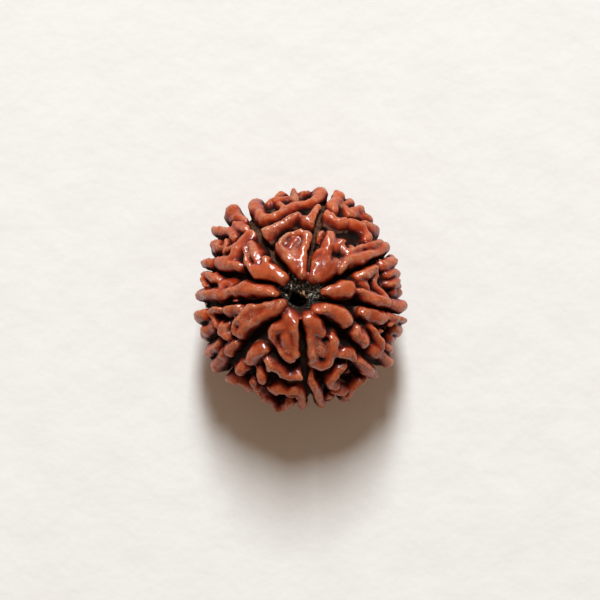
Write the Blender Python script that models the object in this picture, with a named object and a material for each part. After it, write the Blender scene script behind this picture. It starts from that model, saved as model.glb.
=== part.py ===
"""Rudraksha seed: the ridged stone of a nine-faced bead, grown as one piece, standing on its lower pole.

Millimetres in the dimensions below and metres in the mesh, +Z up through the stem pole.
Places on the stone are an azimuth (degrees from +X, counter-clockwise seen from above) and a
colatitude (degrees down from the stem pole).
"""

import math
import random

import bmesh
import bpy
import numpy as np
from mathutils.bvhtree import BVHTree

MM = 0.001

# The spheroid that the ridge tops touch, and what lies under it
CREST_EQUATOR = 11.15
CREST_POLE = 9.7
FLOOR_DEPTH = 2.0
FLOOR_DEPTH_POLE = 1.6
FLOOR_DEPTH_RIM = 1.45
POLE_FADE_DEGREES = 16.0
RIM_FADE_DEGREES = (42.0, 66.0)

# Ridge section
WIDEN = 1.27
SHOULDER = 0.75
ROOT_FLARE = 0.3
CROWN_DROP = 0.12
RIDGE_BLEND = 0.08
STROKE_STEP = 0.8

# Clefts between the nine faces
CLEFT_HALF_WIDTHS = (0.2, 0.27, 0.27, 0.2, 0.22, 0.2, 0.34, 0.2, 0.22)
CLEFT_DEPTH = 2.15
CLEFT_RIM_DEPTHS = (2.1, 0.9, 1.3, 1.9, 1.5, 1.2, 1.45, 1.1, 1.85)
CLEFT_BED_HALF_WIDTH = 0.6
CLEFT_BLEND = 0.15
CLEFT_STARTS = (12, 17, 14, 12, 12, 18, 15, 20, 12)
CLEFT_OPENING = 14.0
CLEFT_POLE_SHARE = 0.4
HOLLOW_BLEND = 0.3

# The channel along the axis and its worn mouths
BORE_RADIUS = 0.85
BORE_CENTRE = (-0.25, -0.2)
MOUTH_RADIUS = 1.35
MOUTH_DEPTH = 2.3
BORE_BLEND = 0.35

# Slow waves that keep the ridges from being even
WARP = 0.1
WARP_LENGTH = 2.6
SWELL = 0.05
SWELL_LENGTH = 1.3

# The small flat spots that the stone rests on
REST_CUT = 0.3

# Mesh
VOXEL = 0.3
MARGIN = 2.3
NODE_TRIANGLES = 6200
UNTANGLE_ROUNDS = 12
SEED = 9

COLOUR = (0.27, 0.062, 0.024, 1.0)
ROUGHNESS = 0.42

# Each cleft's azimuth at these colatitudes
CLEFT_COLATITUDES = (12, 30, 60, 90)
CLEFTS = [
    (22, 27, 27, 28),
    (72, 78.5, 77.5, 74.5),
    (119, 123, 124, 122),
    (155, 159, 162, 162.5),
    (184, 186, 184.5, 184.5),
    (228, 222, 222.5, 224),
    (270, 271.5, 273.5, 275.5),
    (310, 320, 318, 318.5),
    (351, 352.5, 352, 351.5),
]

# Ridges of the stem half, face by face: points of azimuth, colatitude, half width and, where the
# crest stands above or below the spheroid, lift
FACE_RIGHT_UPPER = [
    [(57, 17, 0.72, 0.05), (57, 22, 0.85, 0.1), (58, 28, 0.75, 0.05), (61, 35, 0.52), (63.5, 41, 0.55),
     (64.5, 45, 0.5)],
    [(66, 18, 0.5, -0.1), (66, 24, 0.55, -0.2), (64, 31, 0.55, -0.2)],
    [(45, 20, 0.55, -0.15), (43, 25, 0.65, -0.25), (46, 32, 0.65, -0.3)],
    [(75, 41, 0.25, -0.3), (72, 45, 0.25, -0.2)],
    [(55, 39, 0.4, -0.25), (54.5, 45, 0.5)],
    [(53, 47, 0.25, -0.1), (49, 42, 0.3, -0.1), (44, 42, 0.3, -0.1), (42, 46, 0.3), (46, 48, 0.25, -0.2)],
    [(36, 32, 0.5), (39, 37, 0.55), (37, 41, 0.55), (34, 48, 0.45), (32, 55, 0.45), (31.5, 64, 0.4),
     (32, 74, 0.4), (33, 86, 0.4, -0.2)],
    [(40, 50, 0.35, -0.1), (38, 58, 0.35), (36, 66, 0.4), (36, 77, 0.4, -0.1)],
    [(73, 62, 0.5, 0.05), (70, 62, 0.5, 0.05), (66.5, 60.5, 0.42, -0.15), (63, 60.5, 0.4, -0.15),
     (60.5, 62.5, 0.42, 0.05)],
    [(71, 72, 0.4), (71, 82, 0.6, 0.4), (71, 92, 0.65, 1.1)],
    [(71, 82, 0.4, 0.1), (66, 82, 0.4), (62, 77, 0.4), (59.5, 81, 0.45), (57.5, 87, 0.5, 0.5),
     (56.6, 92, 0.45, 0.85)],
    [(66, 85, 0.35, 0.3), (63.7, 92, 0.4, 1.0)],
    [(56, 65, 0.42), (52, 67, 0.52), (48, 68, 0.58), (44.5, 66, 0.52), (42, 63, 0.35, -0.1)],
    [(49.5, 77, 0.5), (45.5, 81, 0.5), (43.5, 86, 0.45)],
    [(56, 84, 0.4), (51, 91, 0.45, 0.4)],
]
FACE_TOP = [
    [(88, 16, 0.55), (88, 24, 0.55), (86.5, 31, 0.5), (85, 40, 0.42)],
    [(99, 18.5, 0.5), (105, 25, 0.5), (110, 31, 0.4), (113, 37, 0.28)],
    [(113, 36, 0.2), (106, 40, 0.22, -0.1), (98, 42, 0.25, -0.2), (90, 42, 0.35, -0.1)],
    [(96, 21, 0.8, -0.1), (98, 28, 0.9, -0.25), (95, 36, 0.8, -0.35)],
    [(104, 29, 0.7, -0.25), (104, 36, 0.55, -0.3)],
    [(98, 35, 0.2, -0.15), (101, 32.5, 0.15, -0.15)],
    [(120, 50, 0.52), (115, 49, 0.52), (109, 50.5, 0.45), (102, 52, 0.5), (96, 54, 0.5), (92, 56.5, 0.4)],
    [(92, 56, 0.3, -0.15), (89, 55, 0.25, -0.2), (87, 54, 0.3, -0.1)],
    [(87, 53, 0.45), (83, 53, 0.5), (80.5, 59, 0.45), (80, 67, 0.35)],
    [(115, 92, 0.65, 0.8), (116.5, 75, 0.55, 0.15), (115, 64, 0.45), (110, 60.5, 0.35), (105, 61, 0.35),
     (101, 63, 0.35), (97, 66, 0.4), (93, 69, 0.4), (88, 70, 0.4), (84, 73, 0.4), (81, 80, 0.5, 0.3),
     (80, 92, 0.7, 0.95)],
    [(109, 82, 0.3, -0.1), (104.5, 85, 0.4, 0.1), (100, 92, 0.4, 0.55)],
    [(104, 82, 0.35), (97, 84, 0.35), (94, 81, 0.3), (93.5, 93, 0.2, 0.85)],
    [(90, 86, 0.3, 0.35), (87, 90, 0.3, 0.35), (86, 92, 0.3, 0.4)],
    [(101, 65, 0.25, -0.4), (101, 73, 0.25, -0.4), (103, 79, 0.25, -0.3)],
]
FACE_LEFT_UPPER = [
    [(137, 18.5, 0.62), (139, 24, 0.72, 0.05), (145, 29, 0.7, -0.1), (149, 35, 0.6, -0.1)],
    [(144, 19, 0.45, -0.2), (149, 25, 0.5, -0.25), (153, 31, 0.4, -0.3)],
    [(139, 29, 0.45, -0.3), (134.5, 33, 0.45)],
    [(133, 49, 0.4), (134, 45, 0.5), (137, 40, 0.45), (140, 36, 0.4, -0.1)],
    [(138, 49, 0.25), (143, 46, 0.25), (148, 41, 0.3), (150, 37, 0.4, -0.1)],
    [(131.5, 75, 0.42), (129.5, 68, 0.55), (128, 62, 0.55)],
    [(141, 56, 0.3), (144, 59, 0.25), (147, 61, 0.2)],
    [(127.5, 56, 0.5), (131, 55.5, 0.55), (136, 54.5, 0.6), (141, 54, 0.55), (146, 54.5, 0.5),
     (150, 54, 0.5)],
    [(153.5, 49.5, 0.6), (154, 55, 0.68), (155.5, 61, 0.62), (156.5, 66, 0.45)],
    [(157.5, 72, 0.4), (158.5, 81, 0.36, 0.1), (159, 90, 0.3, 0.15)],
    [(126, 74, 0.4, -0.1), (127, 82, 0.55, 0.4), (127.5, 92, 0.7, 1.45)],
    [(138, 65, 0.4), (135.5, 68, 0.5), (136, 74, 0.4), (138, 82, 0.35, 0.2), (140.3, 92, 0.32, 1.05)],
    [(142, 70, 0.2), (144, 66, 0.2), (150, 64, 0.2, -0.2)],
    [(146, 71, 0.45, -0.15), (147, 79, 0.58, 0.05), (147.5, 89, 0.5, 0.05)],
]
FACE_LEFT = [
    [(174, 17, 0.28), (172.5, 21.5, 0.45), (172, 30, 0.52), (171.5, 38, 0.62), (174, 44, 0.48),
     (176, 50, 0.42),
     (177, 58, 0.45), (177, 68, 0.45), (177, 80, 0.45), (177, 89, 0.4)],
    [(170, 49, 0.5, -0.6), (169.5, 57, 0.5, -0.45), (173, 54, 0.45, -0.25)],
    [(167, 60, 0.4, -0.2), (166, 67, 0.45), (165, 75, 0.35, -0.1), (168, 77, 0.25), (172, 70, 0.2)],
    [(165, 80, 0.35, -0.2), (165, 90, 0.35, -0.35)],
]
FACE_LEFT_LOWER = [
    [(204, 15, 0.6, 0.05), (205, 20, 0.65), (206, 28, 0.6), (208, 36, 0.5), (209, 43, 0.5),
     (211, 48, 0.45)],
    [(197, 17, 0.5), (194.5, 21, 0.54), (192, 27, 0.56), (190.5, 31.5, 0.48)],
    [(192.5, 34.5, 0.3), (197.5, 41, 0.28), (202, 46.5, 0.25), (208, 49.5, 0.3)],
    [(200, 22, 0.7, -0.1), (201, 31, 0.9, -0.15), (205, 42, 0.75, -0.15)],
    [(189.2, 42, 0.5), (189.2, 46.5, 0.62), (189.8, 50.5, 0.52)],
    [(189, 48, 0.25, -0.5), (197, 46, 0.25, -0.5)],
    [(200, 56, 0.5), (203, 59.5, 0.6), (206.5, 57.5, 0.48)],
    [(214, 55, 0.35, -0.1), (215, 59, 0.45), (216, 64, 0.4)],
    [(215, 68, 0.4, -0.1), (217, 77, 0.5, 0.2), (218, 91, 0.55, 0.7)],
    [(209, 69, 0.36, -0.3), (209.3, 77, 0.47, 0.1), (209.5, 91, 0.5, 0.4)],
    [(187, 57.5, 0.5), (187.2, 62, 0.5)],
    [(188, 65, 0.2), (193, 64, 0.2, -0.2), (198, 62, 0.2)],
    [(188.5, 75, 0.58, 0.1), (188.8, 83, 0.62, 0.2), (189.2, 91, 0.6, 0.3)],
    [(197, 69, 0.48, -0.3), (198, 77, 0.6, -0.15), (198.5, 90, 0.58, 0.05)],
    [(193, 68, 0.3, -0.5), (197, 77, 0.3, -0.4)],
]
FACE_BOTTOM_LEFT = [
    [(247, 15.5, 0.7, 0.1), (244, 19, 0.7, 0.1), (237, 23, 0.6), (232, 27.5, 0.5)],
    [(256, 16, 0.6, 0.1), (260, 20, 0.55, 0.1), (263.5, 28, 0.5), (265, 37, 0.45)],
    [(232, 29, 0.45), (235, 32.5, 0.4), (243, 36, 0.35, -0.2), (251, 39, 0.35, -0.1), (260, 41, 0.5)],
    [(250, 21, 0.85), (249, 27, 0.95, -0.15), (255, 34, 0.8, -0.15)],
    [(234.5, 43, 0.5), (232, 47.5, 0.64), (231, 52, 0.64), (231.5, 55, 0.5)],
    [(242, 48, 0.3), (247, 50, 0.42), (253, 50.5, 0.4), (257, 53, 0.4), (262, 54.5, 0.42),
     (268.5, 53.5, 0.42)],
    [(246, 51, 0.4, -0.1), (246, 53, 0.4, -0.1)],
    [(254.5, 73, 0.35), (253, 71, 0.4), (257, 67, 0.42), (262, 67.5, 0.38), (267, 65.5, 0.4),
     (270, 66.5, 0.35),
     (270.5, 72, 0.3, -0.05), (271, 80, 0.3, -0.1), (271, 93, 0.3, 0.4)],
    [(245, 76, 0.2, -0.1), (249, 85, 0.25), (253, 92, 0.3, 0.2), (258, 95, 0.4, 0.95), (262, 91, 0.3, 0.3),
     (265, 86, 0.25)],
    [(262, 76, 0.2, -0.3), (264, 75, 0.2, -0.3), (267, 73, 0.2, -0.3), (268, 78, 0.2, -0.3)],
    [(238, 59, 0.25, -0.4), (241.5, 62, 0.38, -0.15), (243.5, 66, 0.35, -0.1)],
    [(229.5, 64, 0.5), (229, 68, 0.56), (230, 71, 0.48)],
    [(227, 89, 0.42, 0.35), (229.5, 84, 0.45, 0.2), (233, 82, 0.45), (238, 81, 0.38), (240, 86, 0.3, -0.2)],
    [(240, 70, 0.2, -0.1), (244, 80, 0.18, -0.1), (249, 92, 0.18, -0.1)],
]
FACE_BOTTOM_RIGHT = [
    [(289, 15.5, 0.66, 0.1), (293, 19, 0.66, 0.1), (296, 24, 0.55), (297, 27, 0.45, -0.1)],
    [(288, 20, 0.5, -0.05), (284.5, 26, 0.55), (282, 33, 0.52), (281, 40, 0.5), (282, 46, 0.55),
     (287, 48.5, 0.52),
     (293, 47, 0.46), (298, 43, 0.48), (302.5, 39, 0.56), (305.5, 36, 0.6)],
    [(288, 28, 0.5, -0.25), (289, 36, 0.6, -0.25), (293, 41, 0.5, -0.2)],
    [(303, 45.5, 0.36), (307.5, 47.5, 0.48), (310.5, 50.5, 0.48), (311.5, 54, 0.4)],
    [(313.5, 61, 0.38, -0.1), (313.5, 69, 0.48), (313.5, 77, 0.45), (314, 88, 0.4, 0.1)],
    [(303, 56, 0.26, -0.1), (298, 56, 0.32), (293, 59, 0.38), (289.5, 63, 0.4), (289.5, 67, 0.38),
     (291.5, 70, 0.32)],
    [(278, 54, 0.2, -0.5), (278.5, 60, 0.3, -0.1), (279.5, 67, 0.36), (280, 75, 0.36),
     (280.5, 83, 0.32, -0.1),
     (281, 93, 0.36, 0.4)],
    [(291, 74, 0.42, -0.1), (295, 79, 0.45)],
    [(296, 86, 0.4, 0.3), (295, 93, 0.45, 0.65)],
    [(298, 88, 0.25, 0.2), (300, 80, 0.25), (304, 79, 0.22, -0.1), (308.5, 80, 0.3, -0.1)],
    [(285, 82, 0.25, -0.3), (287, 90, 0.3, -0.2)],
]
FACE_RIGHT_LOWER = [
    [(319, 14, 0.42), (328, 16, 0.5, 0.05), (334.5, 20, 0.62, 0.05), (335, 27, 0.7), (332.5, 33.5, 0.6)],
    [(345.5, 43, 0.48, -0.1), (345, 48, 0.66), (345.5, 53.5, 0.62), (346.5, 58, 0.42)],
    [(347.5, 63, 0.3, -0.2), (348, 69, 0.42), (348, 75, 0.4)],
    [(347, 72, 0.22), (343, 67, 0.2, -0.2), (339, 63, 0.2, -0.3), (336, 60, 0.2, -0.5)],
    [(349, 79, 0.3, -0.1), (349, 89, 0.42, 0.15)],
    [(343, 77, 0.4, -0.3), (343, 89, 0.45, -0.05)],
    [(337, 78, 0.45, -0.5), (337, 92, 0.5, -0.6)],
    [(329, 43.5, 0.5), (327.5, 47, 0.6), (325.5, 51, 0.56), (324, 54, 0.46)],
    [(337, 50, 0.25, -0.3), (334.5, 56, 0.34, -0.1), (331.5, 63, 0.42), (328, 68, 0.5), (325, 68, 0.5),
     (324.5, 62, 0.45)],
    [(331, 75, 0.35, -0.2), (331, 88, 0.42, -0.15)],
    [(325, 73, 0.4, -0.2), (324.5, 90, 0.45, 0.55)],
]
FACE_RIGHT = [
    [(14, 17, 0.36), (11, 21.5, 0.58), (10.5, 28, 0.74), (9.5, 32, 0.66)],
    [(13, 36, 0.12, -0.5), (5, 36, 0.12, -0.5)],
    [(20, 40, 0.36, -0.1), (20.5, 46, 0.46), (21.5, 53, 0.44)],
    [(21, 53, 0.32), (17, 54, 0.3, -0.3), (13, 53, 0.34, -0.5), (9, 54, 0.38, -0.5), (5, 57, 0.38, -0.35)],
    [(14.5, 43, 0.7, -0.6), (9.5, 45.5, 0.7, -0.65)],
    [(5, 37.5, 0.18), (3, 41, 0.34), (0, 46, 0.52), (-1.5, 53, 0.56), (-2.5, 60, 0.48)],
    [(-4, 67, 0.44, -0.15), (-4, 76, 0.5), (-3, 88, 0.46, -0.05)],
    [(5, 56, 0.42, -0.25), (1, 58, 0.42, -0.1)],
    [(22.5, 63, 0.38), (22, 69, 0.5), (23, 78, 0.48), (23.5, 88, 0.42, -0.2)],
    [(15.5, 66, 0.28, -0.3), (15.8, 74, 0.4, -0.2), (15.5, 88, 0.38, -0.65)],
    [(10, 66, 0.3, -0.4), (10.3, 75, 0.42, -0.25), (10, 88, 0.4, -0.65)],
    [(4.5, 72, 0.35, -0.6), (5, 88, 0.4, -1.2)],
]
STEM_HALF = [
    FACE_RIGHT_UPPER, FACE_TOP, FACE_LEFT_UPPER, FACE_LEFT, FACE_LEFT_LOWER,
    FACE_BOTTOM_LEFT, FACE_BOTTOM_RIGHT, FACE_RIGHT_LOWER, FACE_RIGHT,
]

# Deep hollows between ridges: azimuth, colatitude, radius and depth under the spheroid
HOLLOWS = [
    (106, 70, 0.4, 1.9),
    (57, 74, 0.4, 1.9),
    (50, 46, 0.2, 1.1),
    (143.5, 72, 0.35, 1.9),
    (146, 47, 0.4, 2.2),
    (195, 54.5, 0.38, 2.1),
    (259, 82, 0.5, 2.2),
    (252, 60, 0.45, 2.1),
    (301, 64, 0.7, 2.3),
    (307, 70, 0.45, 2.0),
    (341, 65, 0.4, 2.1),
    (336, 45, 0.35, 2.1),
    (302, 33, 0.2, 1.5),
    (92, 47, 0.35, 2.1),
]

# The hidden half takes each face's ridges from another face, turned about the equator
HIDDEN_FACE_SHIFT = 4
HIDDEN_START = 100.0
HIDDEN_LIFT_PLACES = (104.0, 118.0)
HIDDEN_LIFTS = (-0.4, 0.05)
HIDDEN_JITTER = 1.7
UPPER_REACH = 97.0

# Ridges that reach the equator run on this far below it and come back to the spheroid
RIM_COLATITUDE = 86.0
RIM_RUN = (9.0, 21.0)
RIM_TURN = 2.5
RIM_END_LIFT = -0.1


def direction(azimuth, colatitude):
    """Unit vectors of places on the stone; the last axis holds x, y, z."""
    azimuth = np.radians(azimuth)
    colatitude = np.radians(colatitude)
    flat = np.sin(colatitude)
    return np.stack([flat * np.cos(azimuth), flat * np.sin(azimuth), np.cos(colatitude)], axis=-1)


def crest_radius(cosine):
    """Distance from the centre to the crest spheroid, from the cosine of the colatitude."""
    sine_squared = 1.0 - cosine * cosine
    return 1.0 / np.sqrt(sine_squared / CREST_EQUATOR**2 + cosine * cosine / CREST_POLE**2)


def floor_depth(cosine):
    """How far the valleys lie under the crests: less round the two poles and the equator."""
    from_pole = np.degrees(np.arccos(np.clip(np.abs(cosine), 0.0, 1.0)))
    share = smooth_step(from_pole / POLE_FADE_DEGREES)
    to_rim = rim_share(from_pole)
    depth = FLOOR_DEPTH_POLE + (FLOOR_DEPTH - FLOOR_DEPTH_POLE) * share
    return depth + (FLOOR_DEPTH_RIM - FLOOR_DEPTH) * to_rim


def rim_share(from_pole):
    """0 round the poles to 1 round the equator."""
    start, end = RIM_FADE_DEGREES
    return smooth_step((from_pole - start) / (end - start))


def smooth_step(share):
    share = np.clip(share, 0.0, 1.0)
    return share * share * (3.0 - 2.0 * share)


def smooth_union(first, second, blend):
    share = np.clip(0.5 + 0.5 * (second - first) / blend, 0.0, 1.0)
    return second + (first - second) * share - blend * share * (1.0 - share)


def smooth_cut(solid, cutter, blend):
    return -smooth_union(-solid, cutter, blend)


def cleft_azimuth(index, colatitude):
    """A cleft's azimuth at a colatitude, going on down past the equator as it reached it."""
    turns, index = divmod(index, len(CLEFTS))
    return np.interp(colatitude, CLEFT_COLATITUDES, CLEFTS[index]) + 360.0 * turns


def wave_noise(points, length, terms, draw):
    """A sum of sine waves in random directions, about -1 to 1."""
    total = 0.0
    for _ in range(terms):
        wave = draw.normal(size=3)
        wave *= 2.0 * math.pi / (length * np.linalg.norm(wave) * draw.uniform(0.7, 1.4))
        total = total + np.sin(points @ wave.astype(np.float32) + draw.uniform(0.0, 2.0 * math.pi))
    return total / math.sqrt(terms)


def curve_through(nodes):
    """The nodes of a ridge joined by a smooth curve, as rows of direction, half width and lift."""
    rows = np.array([tuple(node) + (0.0,) * (4 - len(node)) for node in nodes], dtype=float)
    rows = np.concatenate([direction(rows[:, 0], rows[:, 1]), rows[:, 2:]], axis=1)
    if len(rows) == 1:
        return np.repeat(rows, 2, axis=0)
    ends = np.concatenate([[2 * rows[0] - rows[1]], rows, [2 * rows[-1] - rows[-2]]])
    out = []
    for before, start, end, after in zip(ends, ends[1:], ends[2:], ends[3:]):
        length = CREST_EQUATOR * np.linalg.norm(end[:3] - start[:3])
        pieces = max(1, math.ceil(length / STROKE_STEP))
        for step in range(pieces):
            t = step / pieces
            out.append(0.5 * (2 * start + (end - before) * t
                              + (2 * before - 5 * start + 4 * end - after) * t * t
                              + (3 * start - before - 3 * end + after) * t**3))
    out.append(rows[-1])
    out = np.array(out)
    out[:, :3] /= np.linalg.norm(out[:, :3], axis=1, keepdims=True)
    return out


def past_the_rim(ridges, draw):
    """The ridges of one face, with each that reaches the equator carried on below it."""
    longer = []
    for ridge in ridges:
        nodes = list(ridge)
        for place, node in ((len(nodes), nodes[-1]), (0, nodes[0])):
            if node[1] >= RIM_COLATITUDE:
                azimuth = node[0] + draw.uniform(-RIM_TURN, RIM_TURN)
                nodes.insert(place, (azimuth, node[1] + draw.uniform(*RIM_RUN), node[2], RIM_END_LIFT))
        longer.append(nodes)
    return longer


def hidden_half(draw):
    """Ridges of the lower half, face by face: each borrows another face's layout, put in its own width."""
    faces = []
    count = len(STEM_HALF)
    for index in range(count):
        source = (index + HIDDEN_FACE_SHIFT) % count
        turned = draw.random() < 0.5
        ridges = []
        for ridge in STEM_HALF[source]:
            nodes = []
            for node in ridge:
                azimuth, colatitude, half = node[:3]
                lift = node[3] if len(node) > 3 else 0.0
                left = cleft_azimuth(source, colatitude)
                width = cleft_azimuth(source + 1, colatitude) - left
                share = ((azimuth - left + 90.0) % 360.0 - 90.0) / width
                share = 1.0 - share if turned else share
                below = 180.0 - colatitude * (180.0 - HIDDEN_START) / UPPER_REACH
                start = cleft_azimuth(index, below)
                across = cleft_azimuth(index + 1, below) - start
                nodes.append((
                    start + across * share + draw.uniform(-HIDDEN_JITTER, HIDDEN_JITTER) * 0.5,
                    below + draw.uniform(-HIDDEN_JITTER, HIDDEN_JITTER),
                    half,
                    min(lift, np.interp(below, HIDDEN_LIFT_PLACES, HIDDEN_LIFTS)),
                ))
            ridges.append(nodes)
        faces.append(ridges)
    return faces


def segment_blocks(stroke, axes):
    """The slices of the grid that a ridge can reach."""
    top = crest_radius(stroke[:, 2]) + stroke[:, 4]
    deep = top - FLOOR_DEPTH - 0.6
    ends = np.concatenate([stroke[:, :3] * top[:, None], stroke[:, :3] * deep[:, None]])
    reach = WIDEN * stroke[:, 3].max() + ROOT_FLARE + RIDGE_BLEND + WARP * 2.0
    low, high = ends.min(axis=0) - reach, ends.max(axis=0) + reach
    return tuple(
        slice(max(0, int(np.searchsorted(axis, a)) - 1), int(np.searchsorted(axis, b)) + 1)
        for axis, a, b in zip(axes, low, high)
    )


def ridge_distance(stroke, unit, radius):
    """Signed distance to one ridge: a wall over its curve, with rounded shoulders and a flared root."""
    nearest = np.full(radius.shape, 1e9, dtype=np.float32)
    half = np.zeros_like(nearest)
    lift = np.zeros_like(nearest)
    for start, end in zip(stroke[:-1], stroke[1:]):
        chord = (end[:3] - start[:3]).astype(np.float32)
        length = float(chord @ chord) + 1e-12
        share = np.clip(((unit - start[:3].astype(np.float32)) @ chord) / length, 0.0, 1.0)
        gap = unit - start[:3].astype(np.float32) - share[..., None] * chord
        distance = np.sqrt((gap * gap).sum(axis=-1))
        closer = distance < nearest
        nearest = np.where(closer, distance, nearest)
        half = np.where(closer, start[3] + (end[3] - start[3]) * share, half)
        lift = np.where(closer, start[4] + (end[4] - start[4]) * share, lift)
    across = nearest * radius
    top = crest_radius(unit[..., 2]) + lift
    depth = top - radius
    wide = WIDEN * half + ROOT_FLARE * smooth_step(depth / FLOOR_DEPTH)
    shoulder = np.minimum(SHOULDER, WIDEN * half)
    out = across - (wide - shoulder)
    over = radius - (top - CROWN_DROP * np.minimum(across / wide, 1.0) ** 2 - shoulder)
    corner = np.hypot(np.maximum(out, 0.0), np.maximum(over, 0.0))
    return corner + np.minimum(np.maximum(out, over), 0.0) - shoulder


def cleft_distances(index, unit, radius):
    """Signed distances to one cleft's bed, a low wall along it, and to the narrow trench above the bed."""
    colatitude = np.degrees(np.arccos(np.clip(unit[..., 2], -1.0, 1.0)))
    azimuth = np.radians(cleft_azimuth(index, colatitude))
    side = unit[..., 1] * np.cos(azimuth) - unit[..., 0] * np.sin(azimuth)
    ahead = unit[..., 0] * np.cos(azimuth) + unit[..., 1] * np.sin(azimuth)
    across = np.abs(side) * radius
    from_pole = np.minimum(colatitude, 180.0 - colatitude)
    depth = CLEFT_DEPTH + (CLEFT_RIM_DEPTHS[index] - CLEFT_DEPTH) * rim_share(from_pole)
    top = crest_radius(unit[..., 2]) - depth
    opened = smooth_step((from_pole - CLEFT_STARTS[index]) / CLEFT_OPENING)
    half = CLEFT_HALF_WIDTHS[index] * (CLEFT_POLE_SHARE + (1.0 - CLEFT_POLE_SHARE) * opened)
    start = np.radians(CLEFT_STARTS[index] - from_pole) * radius
    bed = np.maximum(across - CLEFT_BED_HALF_WIDTH, radius - top)
    trench = np.maximum(np.maximum(across - half, top - radius), start)
    return np.where(ahead > 0.0, bed, 1e3), np.where(ahead > 0.0, trench, 1e3)


def hollow_distance(hollow, unit, radius):
    """Signed distance to a round well that points at the centre."""
    azimuth, colatitude, wide, deep = hollow
    middle = direction(azimuth, colatitude).astype(np.float32)
    across = np.linalg.norm(unit - middle, axis=-1) * radius
    end = crest_radius(middle[2]) - deep
    return np.hypot(across, np.minimum(radius - end - wide, 0.0)) - wide


def stone_field(voxel):
    """Signed distance on a grid, near enough and negative inside the stone, with the grid's axes."""
    wide = CREST_EQUATOR + MARGIN
    tall = CREST_POLE + MARGIN
    axes = [np.arange(-size, size + voxel, voxel, dtype=np.float32) for size in (wide, wide, tall)]
    points = np.stack(np.meshgrid(*axes, indexing="ij"), axis=-1)
    draw = np.random.default_rng(SEED)
    for axis in range(3):
        points[..., axis] += WARP * wave_noise(points, WARP_LENGTH, 7, draw)
    radius = np.sqrt((points * points).sum(axis=-1))
    unit = points / np.maximum(radius, 1e-6)[..., None]
    field = radius - (crest_radius(unit[..., 2]) - floor_depth(unit[..., 2]))
    trenches = []
    for index in range(len(CLEFTS)):
        bed, trench = cleft_distances(index, unit, radius)
        field = np.minimum(field, bed)
        trenches.append(trench)
    turn = random.Random(SEED)
    stem_half = [past_the_rim(face, turn) for face in STEM_HALF]
    for face in stem_half + hidden_half(turn):
        for nodes in face:
            stroke = curve_through(nodes)
            block = segment_blocks(stroke, axes)
            ridge = ridge_distance(stroke, unit[block], radius[block])
            field[block] = smooth_union(field[block], ridge, RIDGE_BLEND)
    for trench in trenches:
        field = smooth_cut(field, trench, CLEFT_BLEND)
    for hollow in HOLLOWS:
        field = smooth_cut(field, hollow_distance(hollow, unit, radius), HOLLOW_BLEND)
    field += SWELL * wave_noise(points, SWELL_LENGTH, 9, draw)
    off_axis = np.hypot(points[..., 0] - BORE_CENTRE[0], points[..., 1] - BORE_CENTRE[1])
    mouth_height = CREST_POLE - MOUTH_DEPTH
    above = np.maximum(np.abs(points[..., 2]) - mouth_height, 0.0)
    bore = off_axis - BORE_RADIUS - (MOUTH_RADIUS - BORE_RADIUS) * np.minimum(above / MOUTH_DEPTH, 1.5)
    return smooth_cut(field, bore, BORE_BLEND), axes


def make_manifold(field):
    """Pushes single grid points just inside the stone, until no two parts meet at one edge or corner."""
    inside = field < 0.0
    while True:
        change = np.zeros_like(inside)
        for axis in range(3):
            square = np.moveaxis(inside, axis, 2)
            marks = np.moveaxis(change, axis, 2)
            a, b = square[:-1, :-1], square[1:, :-1]
            c, d = square[:-1, 1:], square[1:, 1:]
            falling = a & d & ~b & ~c
            rising = b & c & ~a & ~d
            marks[1:, :-1] |= falling
            marks[:-1, :-1] |= rising
        for flip_x in (False, True):
            for flip_y in (False, True):
                view = inside[::-1] if flip_x else inside
                view = view[:, ::-1] if flip_y else view
                marks = change[::-1] if flip_x else change
                marks = marks[:, ::-1] if flip_y else marks
                low, high = view[:-1, :-1, :-1], view[1:, 1:, 1:]
                count = sum(
                    view[i:i - 1 or None, j:j - 1 or None, k:k - 1 or None].astype(np.int8)
                    for i in (0, 1) for j in (0, 1) for k in (0, 1)
                )
                touching = low & high & (count == 2)
                marks[1:, :-1, :-1] |= touching
                marks[1:, 1:, :-1] |= touching
                gap = ~low & ~high & (count == 6)
                marks[:-1, :-1, :-1] |= gap
        change &= ~inside
        if not change.any():
            return np.where(inside & (field >= 0.0), -1e-3, field)
        inside |= change


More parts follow.
